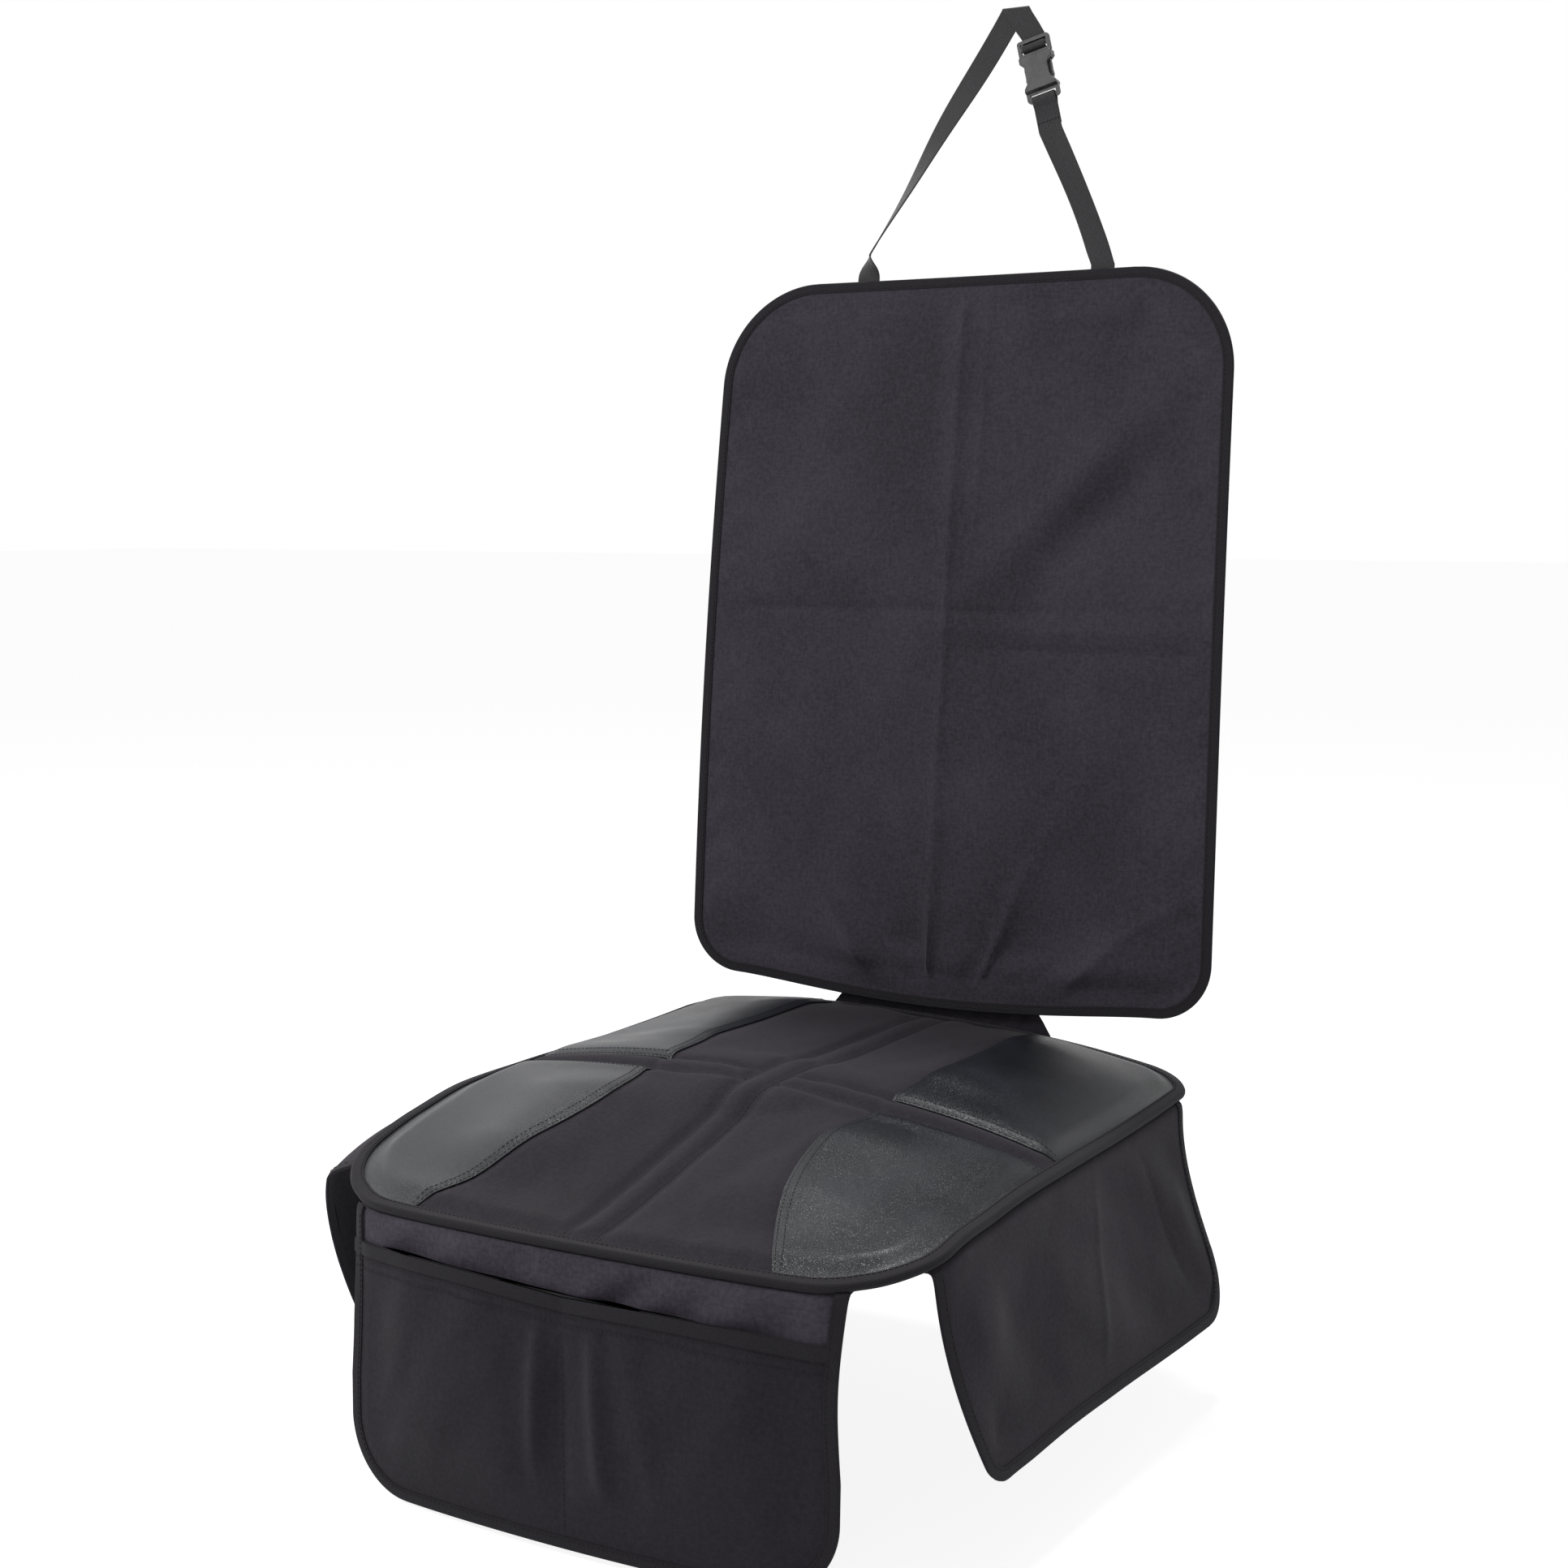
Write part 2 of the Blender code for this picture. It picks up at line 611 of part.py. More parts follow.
def panel_grid():
    """Columns and rows of the panel's grid."""
    half = PANEL_HALF_WIDTH
    inner = half - 1.2 * LIP
    columns = joined([-half, half], steps(-inner, inner, 9), [PANEL_FOLD_X])
    foot = corner_steps(PANEL_FOOT_CORNER)
    top = [PANEL_HEIGHT - d for d in corner_steps(PANEL_TOP_CORNER)]
    low, high = PANEL_FOLDS_V
    rows = joined(foot, steps(foot[-1], low - 0.02, 4), [low, high], steps(high + 0.02, top[-1], 3), top)
    return columns, rows


def make_back_panel(group):
    """The tall cloth panel and the tape round its edge."""
    columns, rows = panel_grid()
    panel = cloth("back_panel", panel_point, columns, rows, PANEL_THICK, -1.0, CHARCOAL, group)
    outline = [(c, rows[0]) for c in columns]
    outline += [(columns[-1], r) for r in rows[1:]]
    outline += [(c, rows[-1]) for c in reversed(columns[:-1])]
    outline += [(columns[0], r) for r in reversed(rows[1:-1])]
    points = [panel_point(c, r) for c, r in outline]
    inner = [(c * 0.98, mix(0.004, PANEL_HEIGHT - 0.004, r / PANEL_HEIGHT)) for c, r in outline]
    normals = [normal_at(panel_point, c, r) for c, r in inner]
    frames = edge_frames(points, normals, True)
    layers = (panel, None, 0.0)
    binding("back_binding", layers, frames, -PANEL_THICK - CLEARANCE, CLEARANCE, LIP, True, 1.0, group)


def behind_panel():
    """Distance behind the panel's front face that clears its binding."""
    return PANEL_THICK + CLEARANCE + TAPE + SEWN_GAP


def make_neck(group):
    """Short cloth piece from behind the panel's foot to under the pad's rear edge."""
    beside = CLEARANCE + TAPE + SEWN_GAP

    def place(column, row):
        top_x = column * NECK_TOP_HALF
        foot_x = column * NECK_FOOT_HALF
        back = Vector((0.0, behind_panel(), 0.0))
        seam = on_panel(top_x, NECK_OVERLAP, -panel_ahead(top_x, NECK_OVERLAP)) + back
        hem = on_panel(top_x, 0.0, -panel_ahead(top_x, 0.0)) + back
        edge = over_pad(foot_x, PAD_REAR, 0.0)
        edge_top = edge + Vector((0.0, beside, edge_stack() + TAPE))
        middle = hem.lerp(edge_top, NECK_FOLD) + Vector((0.0, 0.0010, 0.0))
        turn = edge + Vector((0.0, NECK_TURN_OUT * beside, -NECK_TURN_DOWN * under_binding()))
        inner = over_pad(foot_x, PAD_REAR - TONGUE, -under_binding())
        route = [seam, hem, hem.lerp(middle, 0.5), middle, edge_top, edge + Vector((0.0, beside, 0.0)), turn,
                 over_pad(foot_x, PAD_REAR - 0.002, -under_binding()), inner]
        return route[row]

    cloth("neck_web", place, steps(-1.0, 1.0, 8), list(range(9)), CLOTH, 1.0, CHARCOAL, group)


def side_ends(drop):
    """Front and rear ends of a side flap at a drop below the pad's edge."""
    drop = max(drop, 0.0)
    front = SIDE_FRONT_Y + SIDE_FRONT_SLANT * (drop / SIDE_DROP) ** SIDE_SLANT_POWER
    rear = SIDE_REAR_Y + SIDE_REAR_SWEEP * math.exp(-drop / SIDE_REAR_FALL)
    left = SIDE_DROP - drop
    return front + corner_cut(left, SIDE_FRONT_CORNER), rear - corner_cut(left, SIDE_REAR_CORNER)


def side_depth(y, drop):
    """Distance inside a side flap's free edges."""
    slanted = SIDE_FRONT_SLANT * (max(drop, 0.0) / SIDE_DROP) ** SIDE_SLANT_POWER
    swept = SIDE_REAR_SWEEP * math.exp(-max(drop, 0.0) / SIDE_REAR_FALL)
    left = SIDE_DROP - drop
    front = edge_distance(y - SIDE_FRONT_Y - slanted, left, SIDE_FRONT_CORNER)
    rear = edge_distance(SIDE_REAR_Y + swept - y, left, SIDE_REAR_CORNER)
    return min(front, rear)


def side_surface(side, bend):
    """Outer face of a side flap: share from front to rear, and length down from its sewn edge."""
    def place(share, length):
        drop = length - TONGUE
        front, rear = side_ends(drop)
        y = mix(front, rear, share)
        edge = pad_point(side * PAD_HALF_WIDTH, y, -under_binding())
        if drop <= 0.0:
            inner = pad_point(side * (PAD_HALF_WIDTH - TONGUE), y, -under_binding())
            return edge.lerp(inner, -drop / TONGUE)
        turned = bend * (1.0 - math.exp(-drop / bend))
        down = drop / SIDE_DROP
        back = (y - SIDE_FRONT_Y) / (SIDE_REAR_Y - SIDE_FRONT_Y)
        flare = mix(SIDE_FLARE_FRONT, SIDE_FLARE_REAR, back) * down ** 1.3
        fan = math.sin(SIDE_FAN * (back - SIDE_FAN_CENTRE) / mix(SIDE_FAN_TIGHT, 1.0, down) + 0.8)
        wave = SIDE_WAVE * fan * smooth(down / 0.5) * smooth((side_depth(y, drop) - 1.2 * LIP) / 0.035)
        return edge + Vector((side * (turned + flare + wave), 0.0, -(drop - 0.8 * turned)))
    return place


def side_rows():
    """Lengths down a side flap where its grid has rows."""
    bottom = [TONGUE + SIDE_DROP - d for d in corner_steps(SIDE_REAR_CORNER)]
    return joined([0.0, TONGUE, TONGUE + 0.002, TONGUE + 0.006], steps(TONGUE + 0.016, bottom[-1], 4), bottom)


def make_side_flap(side, word, bend, group):
    """One side flap and the tape round its three free edges."""
    place = side_surface(side, bend)
    rows = side_rows()
    lip = LIP / (SIDE_REAR_Y - SIDE_FRONT_Y)
    columns = [0.0] + steps(1.3 * lip, 1.0 - 1.3 * lip, 8) + [1.0]
    flap = cloth(f"side_flap_{word}", place, columns, rows, CLOTH, side, CHARCOAL, group)
    free = [r for r in rows if r > TONGUE + SIDE_TAPE_START]
    outline = [(0.0, r) for r in free] + [(c, rows[-1]) for c in columns[1:]]
    outline += [(1.0, r) for r in reversed(free[:-1])]
    points = [place(c, r) for c, r in outline]
    normals = [side * -normal_at(place, mix(0.03, 0.97, c), min(r, rows[-1] - 0.002)) for c, r in outline]
    frames = edge_frames(points, normals, False, side)
    for end, inner_share in ((0, 1.3 * lip), (-1, 1.0 - 1.3 * lip)):
        along_row = points[end] - place(inner_share, free[0])
        frames[end] = (points[end], along_row.normalized(), normals[end])
    name = f"side_flap_binding_{word}"
    binding(name, (flap, None, 0.0), frames, -CLOTH - SEWN_GAP, SEWN_GAP, LIP, False, side, group)


def front_side(drop):
    """Half width of the front flap at a drop below the pad's edge, before its corners are rounded."""
    return FRONT_HALF_WIDTH - FRONT_NARROW * math.sin(math.pi * min(max(drop, 0.0) / (0.6 * FRONT_DROP), 1.0))


def front_half(drop):
    """Half width of the front flap at a drop below the pad's edge."""
    return front_side(drop) - corner_cut(max(FRONT_DROP - drop, 0.0), FRONT_CORNER)


def front_depth(share, length):
    """Distance inside the front flap's free edges."""
    drop = length - TONGUE
    to_side = front_side(drop) - abs(share) * front_half(drop)
    return edge_distance(to_side, FRONT_DROP - drop, FRONT_CORNER)


def front_edge(x, depth, rounded=1.0):
    """Place of the front flap's sewn strip, at a depth inside the pad's front edge and its round corners."""
    bow = PAD_FRONT_BOW * max(1.0 - (x / (PAD_HALF_WIDTH * 0.85)) ** 2, 0.0)
    setback = rounded * corner_cut(PAD_HALF_WIDTH - abs(x), PAD_FRONT_CORNER)
    return over_pad(x, PAD_FRONT - bow + setback + depth, -under_binding())


def front_point(share, length):
    """Outer face of the front flap: share from left to right, and length down from its sewn edge."""
    drop = length - TONGUE
    sewn_x = share * FRONT_SEWN_HALF
    if drop <= 0.0:
        return front_edge(sewn_x, -drop)
    edge = front_edge(sewn_x, 0.0)
    x = mix(edge.x, share * front_half(drop), smooth(drop / 0.02))
    turned = FRONT_BEND * (1.0 - math.exp(-drop / FRONT_BEND))
    slant = FRONT_SLANT * math.sin(FRONT_SLANT_PITCH * (share * FRONT_HALF_WIDTH + 0.5 * drop))
    slant *= smooth(drop / 0.02)
    slant *= smooth((front_depth(share, length) - 1.2 * LIP) / 0.022)
    slant *= smooth((FRONT_DROP - POCKET_DEPTH - drop) / 0.02)
    x += FRONT_SHIFT * drop / FRONT_DROP
    above = front_edge(x, 0.0, 1.0 - smooth(drop / FRONT_STRAIGHT))
    return Vector((x, above.y - turned - slant, above.z - (drop - 0.8 * turned)))


def pocket_mouth(share):
    """Length down the flap where the pocket's mouth lies, with its slight sag."""
    return TONGUE + FRONT_DROP - POCKET_DEPTH + POCKET_SAG * (1.0 - share ** 2)


def pocket_bulge(share, length):
    """How far the pocket stands off the flap: two bellies beside the middle seam."""
    lip = LIP / FRONT_HALF_WIDTH
    seam = POCKET_SEAM_X / FRONT_HALF_WIDTH
    end = math.copysign(1.0 - 2.0 * lip, share - seam)
    across = math.sin(math.pi * min(max((share - seam) / (end - seam), 0.0), 1.0)) ** POCKET_FULLNESS
    down = (length - pocket_mouth(share)) / POCKET_DEPTH
    fold = math.exp(-((share - seam) / POCKET_FOLD_REACH) ** 2) * math.sin(POCKET_FOLD_PITCH * (share - seam)) ** 2
    upright = POCKET_FOLD * fold
    depth = POCKET_BULGE * across * (1.0 - 0.35 * smooth(down / 0.5)) + upright
    return depth * smooth((1.0 - down - 1.2 * LIP / POCKET_DEPTH) / 0.5)


def pocket_lift(share, length):
    """Distance between the flap's outer face and the pocket's inner one, with room for the mouth's tape."""
    tape = (TAPE + CLEARANCE) * (1.0 - smooth((length - pocket_mouth(share) - 1.2 * HEM) / HEM))
    beside = smooth((front_depth(share, length) - 1.05 * LIP) / (0.75 * LIP))
    return CLEARANCE + (tape + pocket_bulge(share, length)) * beside


def pocket_point(share, length):
    """Inner face of the pocket panel."""
    length = max(length, pocket_mouth(share))
    step_in = min(max(share, -0.97), 0.97)
    normal = -normal_at(front_point, step_in, min(length, TONGUE + FRONT_DROP - 0.002))
    return front_point(share, length) + normal * pocket_lift(share, length)


def front_grid():
    """Columns and rows of the front flap, and the pocket's rows among them."""
    seam = POCKET_SEAM_X / FRONT_HALF_WIDTH
    lip = LIP / FRONT_HALF_WIDTH
    edges = [1.0, 1.0 - 1.05 * lip, 1.0 - 1.8 * lip]
    columns = joined([-share for share in edges], steps(-0.80, -0.12, 4), [seam], steps(0.12, 0.80, 4), edges)
    bottom = [TONGUE + FRONT_DROP - d for d in corner_steps(FRONT_CORNER)]
    mouth = TONGUE + FRONT_DROP - POCKET_DEPTH
    low = mouth + POCKET_SAG
    upper = [0.0, TONGUE, TONGUE + 0.002, TONGUE + 0.006, TONGUE + 0.015, TONGUE + 0.030]
    pocket = joined([low, low + HEM], steps(low + 3.0 * HEM, bottom[-1], 2), bottom)
    return columns, joined(upper, [mouth], pocket), pocket


def make_front_flap(group):
    """The front flap, its pocket panel with a taped mouth, and the tape round the free edges."""
    columns, rows, pocket_rows = front_grid()
    flap = cloth("front_flap", front_point, columns, rows, CLOTH, 1.0, CHARCOAL, group)

    def pocket_place(share, length):
        if length == pocket_rows[0]:
            length = pocket_mouth(share)
        return pocket_point(share, length)

    pocket = cloth("pocket_panel", pocket_place, columns, pocket_rows, CLOTH, -1.0, CHARCOAL, group)

    free = [r for r in rows if r > TONGUE + 0.004]
    outline = [(-1.0, r) for r in free] + [(c, rows[-1]) for c in columns[1:]]
    outline += [(1.0, r) for r in reversed(free[:-1])]
    points = [front_point(c, r) for c, r in outline]
    normals = [-normal_at(front_point, c * 0.97, min(r, rows[-1] - 0.002)) for c, r in outline]
    frames = edge_frames(points, normals, False)
    over = CLEARANCE + CLOTH + SEWN_GAP
    layers = (flap, pocket, CLOTH + SEWN_GAP)
    binding("front_flap_binding", layers, frames, -CLOTH - SEWN_GAP, over, LIP, False, 1.0, group)

    inner = [c for c in columns if abs(c) < 1.0 - 1.5 * LIP / FRONT_HALF_WIDTH]
    points = [pocket_point(c, pocket_mouth(c)) for c in inner]
    normals = [-normal_at(pocket_point, c, pocket_mouth(c) + 0.001) for c in inner]
    frames = edge_frames(points, normals, False, -1.0)
    layers = (pocket, None, 0.0)
    binding("pocket_hem", layers, frames, -CLEARANCE, CLOTH + CLEARANCE, HEM, False, -1.0, group)


def ribbon(name, stations, colour, group):
    """Webbing from stations of (left edge, right edge)."""
    def place(side, at):
        return stations[at][side]

    piece = finish(name, sheet_mesh(place, [0, 1], list(range(len(stations)))), colour, group)
    thicken(piece, WEBBING_THICK, 0.0)
    return piece


def strap_station(x, v, behind, lean, turn=0.0, shear=0.0):
    """Edges of the webbing at a point of the strap's plane. Lean turns it in the plane, turn about itself,
    and shear slides its edges along it until they are level."""
    half = WEBBING / 2
    across = (math.cos(lean) * math.cos(turn), -math.sin(lean) * math.cos(turn))
    slide = shear * math.tan(lean) * half
    along = (math.sin(lean), math.cos(lean))
    edges = []
    for side in (-1.0, 1.0):
        edge_x = x + side * (half * across[0] + slide * along[0])
        edge_v = v + side * (half * across[1] + slide * along[1])
        edges.append(on_panel(edge_x, edge_v, behind + side * half * math.sin(turn)))
    return tuple(edges)


def on_buckle(x, y, z):
    """Point of the buckle's own frame, in the strap's plane."""
    cos, sin = math.cos(BUCKLE_TILT), math.sin(BUCKLE_TILT)
    place_x, place_v = BUCKLE_PLACE
    return on_panel(place_x + x * cos - z * sin, place_v + x * sin + z * cos, buckle_behind() + y)


def strap_behind(x, v=PANEL_HEIGHT):
    """Distance of the strap's middle behind the panel's flat plane, where it lies on the panel's back."""
    return behind_panel() + WEBBING_THICK / 2 - panel_ahead(x, v)


def bar_reach():
    """Distance from the plug's middle plane to webbing that lies on it."""
    return PLUG_HALF_DEPTH + CLEARANCE + WEBBING_THICK / 2


def buckle_behind():
    """Where the buckle's middle plane lies, so that the folded strap meets the plug's back."""
    return strap_behind(STRAP_LEFT_X) - 2.0 * FOLD_RADIUS - bar_reach()


def buckle_station(y, z):
    """Edges of webbing in the buckle."""
    half = WEBBING / 2
    return on_buckle(-half, y, z), on_buckle(half, y, z)


def make_upper_strap(group):
    """Left leg, the fold over the top, and the turn through the plug's two slots."""
    apex_x, apex_v = APEX
    back = strap_behind(STRAP_LEFT_X)
    tail_v = PANEL_HEIGHT - STRAP_TAIL
    free_v = PANEL_HEIGHT + 0.003
    start_v = PANEL_HEIGHT + STRAP_FREE_HEIGHT
    lean = math.atan2(apex_x - STRAP_LEFT_X, apex_v - start_v)
    leg = math.hypot(apex_x - STRAP_LEFT_X, apex_v - start_v)
    stations = [strap_station(STRAP_LEFT_X, tail_v, strap_behind(STRAP_LEFT_X, tail_v), 0.0),
                strap_station(STRAP_LEFT_X, free_v, back, 0.0)]
    for share in steps(0.0, 1.0, 6)[1:]:
        v = mix(free_v, start_v, share)
        stations.append(strap_station(STRAP_LEFT_X, v, back, lean * share ** 2, STRAP_TURN * smooth(share)))
    for share in steps(0.0, 0.94, 16)[1:]:
        x = mix(STRAP_LEFT_X, apex_x, share)
        v = mix(start_v, apex_v, share)
        shear = smooth((share - 0.82) / 0.10)
        turn = STRAP_TURN * (1.0 - smooth(share / 0.85))
        stations.append(strap_station(x, v, back, lean, turn, shear))
    half_fold = WEBBING / 2 / math.cos(lean)
    for angle in steps(0.0, math.pi, 6):
        x = apex_x + (angle / math.pi - 0.5) * math.pi * FOLD_RADIUS * math.tan(lean)
        behind = back - FOLD_RADIUS + FOLD_RADIUS * math.cos(angle)
        v = apex_v + FOLD_RADIUS * (math.sin(angle) - 1.0)
        stations.append((on_panel(x - half_fold, v, behind), on_panel(x + half_fold, v, behind)))
    entry_z = BUCKLE_TOP + 0.002
    cos, sin = math.cos(BUCKLE_TILT), math.sin(BUCKLE_TILT)
    entry = (BUCKLE_PLACE[0] - entry_z * sin, BUCKLE_PLACE[1] + entry_z * cos)
    front = back - 2.0 * FOLD_RADIUS
    for share in (0.3, 0.5, 0.7, 0.85):
        x = mix(apex_x, entry[0], share)
        v = mix(apex_v, entry[1], share)
        turn_in_plane = mix(-lean, -BUCKLE_TILT, smooth((share - 0.4) / 0.6))
        level = 1.0 - smooth((share - 0.2) / 0.6)
        stations.append(strap_station(x, v, front, turn_in_plane, 0.0, level))
    slot_high = BUCKLE_TOP - TOP_BAR - LADDER_SLOT / 2
    slot_low = slot_high - LADDER_SLOT - MIDDLE_BAR
    reach = bar_reach()
    dip = 0.0003
    bend = 0.0012
    tail_y = SOCKET_HALF_DEPTH + CLEARANCE + WEBBING_THICK / 2 + 0.0002
    route = [(reach, entry_z), (reach, slot_high + bend), (PLUG_HALF_DEPTH, slot_high + dip),
             (-PLUG_HALF_DEPTH, slot_high - dip), (-reach, slot_high - bend), (-reach, slot_low + bend),
             (-PLUG_HALF_DEPTH, slot_low + dip), (PLUG_HALF_DEPTH, slot_low - dip),
             (reach, slot_low - bend), (tail_y - 0.0014, MOUTH_Z + 0.0020), (tail_y, MOUTH_Z + 0.0003),
             (tail_y, MOUTH_Z - 0.004), (tail_y, ARM_TIP_Z)]
    stations += [buckle_station(y, z) for y, z in route]
    ribbon("strap_upper", stations, BLACK_WEBBING, group)


def make_lower_strap(group):
    """Right leg: looped through the socket's foot, sewn double, and down behind the panel."""
    reach = FOOT_HALF_DEPTH + CLEARANCE + WEBBING_THICK / 2 + 0.0001
    bar_top = BUCKLE_FOOT + FOOT_BAR
    over = bar_top + CLEARANCE + WEBBING_THICK / 2 + 0.0001
    side = CLEARANCE / 2 + WEBBING_THICK / 2 + 0.00002
    sewn = BUCKLE_FOOT - LOOP_SEWN
    route = [(side, sewn), (side, BUCKLE_FOOT - 0.006), (0.6 * reach, BUCKLE_FOOT - 0.0035),
             (reach, BUCKLE_FOOT - 0.0005), (reach, bar_top - 0.001), (0.92 * reach, bar_top + 0.0003),
             (0.62 * reach, over), (-0.62 * reach, over), (-0.92 * reach, bar_top + 0.0003),
             (-reach, bar_top - 0.001), (-reach, BUCKLE_FOOT - 0.0005), (-0.6 * reach, BUCKLE_FOOT - 0.0035),
             (-side, BUCKLE_FOOT - 0.006), (-side, sewn), (-side, sewn - 0.004)]
    stations = [buckle_station(y, z) for y, z in route]
    cos, sin = math.cos(BUCKLE_TILT), math.sin(BUCKLE_TILT)
    low_z = sewn - 0.004
    start = (BUCKLE_PLACE[0] - low_z * sin, BUCKLE_PLACE[1] + low_z * cos)
    start_behind = buckle_behind() - side
    end_v = PANEL_HEIGHT + 0.004
    lean = math.atan2(start[0] - STRAP_RIGHT_X, start[1] - end_v)
    for share in steps(0.0, 1.0, 12)[1:]:
        x = mix(start[0], STRAP_RIGHT_X, share)
        v = mix(start[1], end_v, share)
        behind = mix(start_behind, strap_behind(STRAP_RIGHT_X), smooth(share / 0.9))
        turn = STRAP_RIGHT_TURN * math.sin(math.pi * share)
        here = mix(-BUCKLE_TILT, mix(lean, 0.0, smooth((share - 0.8) / 0.2)), smooth(share / 0.25))
        stations.append(strap_station(x, v, behind, here, turn))
    tail_v = PANEL_HEIGHT - STRAP_TAIL
    stations.append(strap_station(STRAP_RIGHT_X, tail_v, strap_behind(STRAP_RIGHT_X, tail_v), 0.0))
    ribbon("strap_lower", stations, BLACK_WEBBING, group)


def arc(centre, radius, first, last, count=4):
    """Points of an arc in degrees, for a flat outline."""
    angles = [math.radians(a) for a in steps(first, last, count)]
    return [(centre[0] + radius * math.cos(a), centre[1] + radius * math.sin(a)) for a in angles]


def mirrored(half):
    """Whole outline from its right half, top to bottom."""
    return half + [(-x, z) for x, z in reversed(half)]


def flat_mesh(outlines, half_depth, chamfer):
    """Closed mesh of a flat outline with holes, standing in X and Z, chamfered round its two faces."""
    curve = bpy.data.curves.new("outline", "CURVE")
    curve.dimensions = "2D"
    curve.fill_mode = "BOTH"
    curve.extrude = half_depth - chamfer
    curve.bevel_depth = chamfer
    curve.bevel_resolution = 0
    curve.offset = -chamfer
    for outline in outlines:
        spline = curve.splines.new("POLY")
        spline.points.add(len(outline) - 1)
        spline.use_cyclic_u = True
        for point, (x, z) in zip(spline.points, outline):
            point.co = (x, z, 0.0, 1.0)
    holder = bpy.data.objects.new("outline", curve)
    bpy.context.scene.collection.objects.link(holder)
    graph = bpy.context.evaluated_depsgraph_get()
    mesh = bpy.data.meshes.new_from_object(holder.evaluated_get(graph))
    bpy.data.objects.remove(holder)
    bm = bmesh.new()
    bm.from_mesh(mesh)
    bmesh.ops.remove_doubles(bm, verts=bm.verts, dist=0.00001)
    for vert in bm.verts:
        x, z, depth = vert.co
        vert.co = (x, -depth, z)
    bmesh.ops.recalc_face_normals(bm, faces=bm.faces)
    bm.to_mesh(mesh)
    bm.free()
    return mesh


def box_mesh(low, high):
    """Closed box between two corners."""
    mesh = bpy.data.meshes.new("box")
    bm = bmesh.new()
    bmesh.ops.create_cube(bm, size=1.0)
    for vert in bm.verts:
        vert.co = [mix(a, b, c + 0.5) for a, b, c in zip(low, high, vert.co)]
    bm.to_mesh(mesh)
    bm.free()
    return mesh


def seat_on_strap(mesh):
    """Move a mesh from the buckle's own frame to its place."""
    for vert in mesh.vertices:
        vert.co = on_buckle(*vert.co)
    mesh.update()


def cut(piece, mesh, name, cutters, operation="DIFFERENCE"):
    """Cut a piece with a mesh, or keep what both share."""
    cutter = bpy.data.objects.new(name, mesh)
    cutters.objects.link(cutter)
    cutter.hide_render = True
    cutter.display_type = "WIRE"
    boolean = piece.modifiers.new(name, "BOOLEAN")
    boolean.operation = operation
    boolean.solver = "EXACT"
    boolean.object = cutter


def make_plug(group):
    """Plug: a two-slot ladder over two sprung arms and a guide tongue."""
    half = BUCKLE_HALF_WIDTH
    base = MOUTH_Z + CLEARANCE
    inside = half - RAIL + EDGE_BREAK
    slot_top = BUCKLE_TOP - TOP_BAR
    low_slot_top = slot_top - LADDER_SLOT - MIDDLE_BAR
    cavity = half - SOCKET_WALL - CLEARANCE
    root = cavity - ARM_WIDTH
    pad_x = SOCKET_WAIST + ARM_BOW + 0.0010
    window_low, window_high = SOCKET_WINDOW
    middle = (window_low + window_high) / 2
    arm = [(half, base), (cavity - 0.0006, base - 0.0001), (cavity - 0.0008, window_high + 0.001),
           (pad_x, middle + 0.004), (pad_x - 0.0002, middle - 0.001), (cavity, window_low + 0.004),
           (cavity - 0.0012, ARM_TIP_Z + 0.001), (cavity - 0.0024, ARM_TIP_Z),
           (cavity - 0.0034, ARM_TIP_Z + 0.0012), (pad_x - ARM_WIDTH, middle - 0.001), (root, window_high),
           (root, base - 0.001), (root - 0.0006, base - 0.0002)]
    tongue = [(TONGUE_HALF + 0.0006, base - 0.0002), (TONGUE_HALF, base - 0.001),
              (TONGUE_HALF - 0.0004, TONGUE_TIP_Z + 0.001), (TONGUE_HALF - 0.0014, TONGUE_TIP_Z)]
    corner = arc((half - 0.0025, BUCKLE_TOP - 0.0025), 0.0025, 90, 0)
    outline = mirrored(corner + arm + tongue)
    slots = [mirrored([(inside, top), (inside, top - LADDER_SLOT)]) for top in (slot_top, low_slot_top)]
    mesh = flat_mesh([outline] + slots, PLUG_HALF_DEPTH, EDGE_BREAK / 2)
    seat_on_strap(mesh)
    finish("buckle_plug", mesh, BLACK_PLASTIC, group)


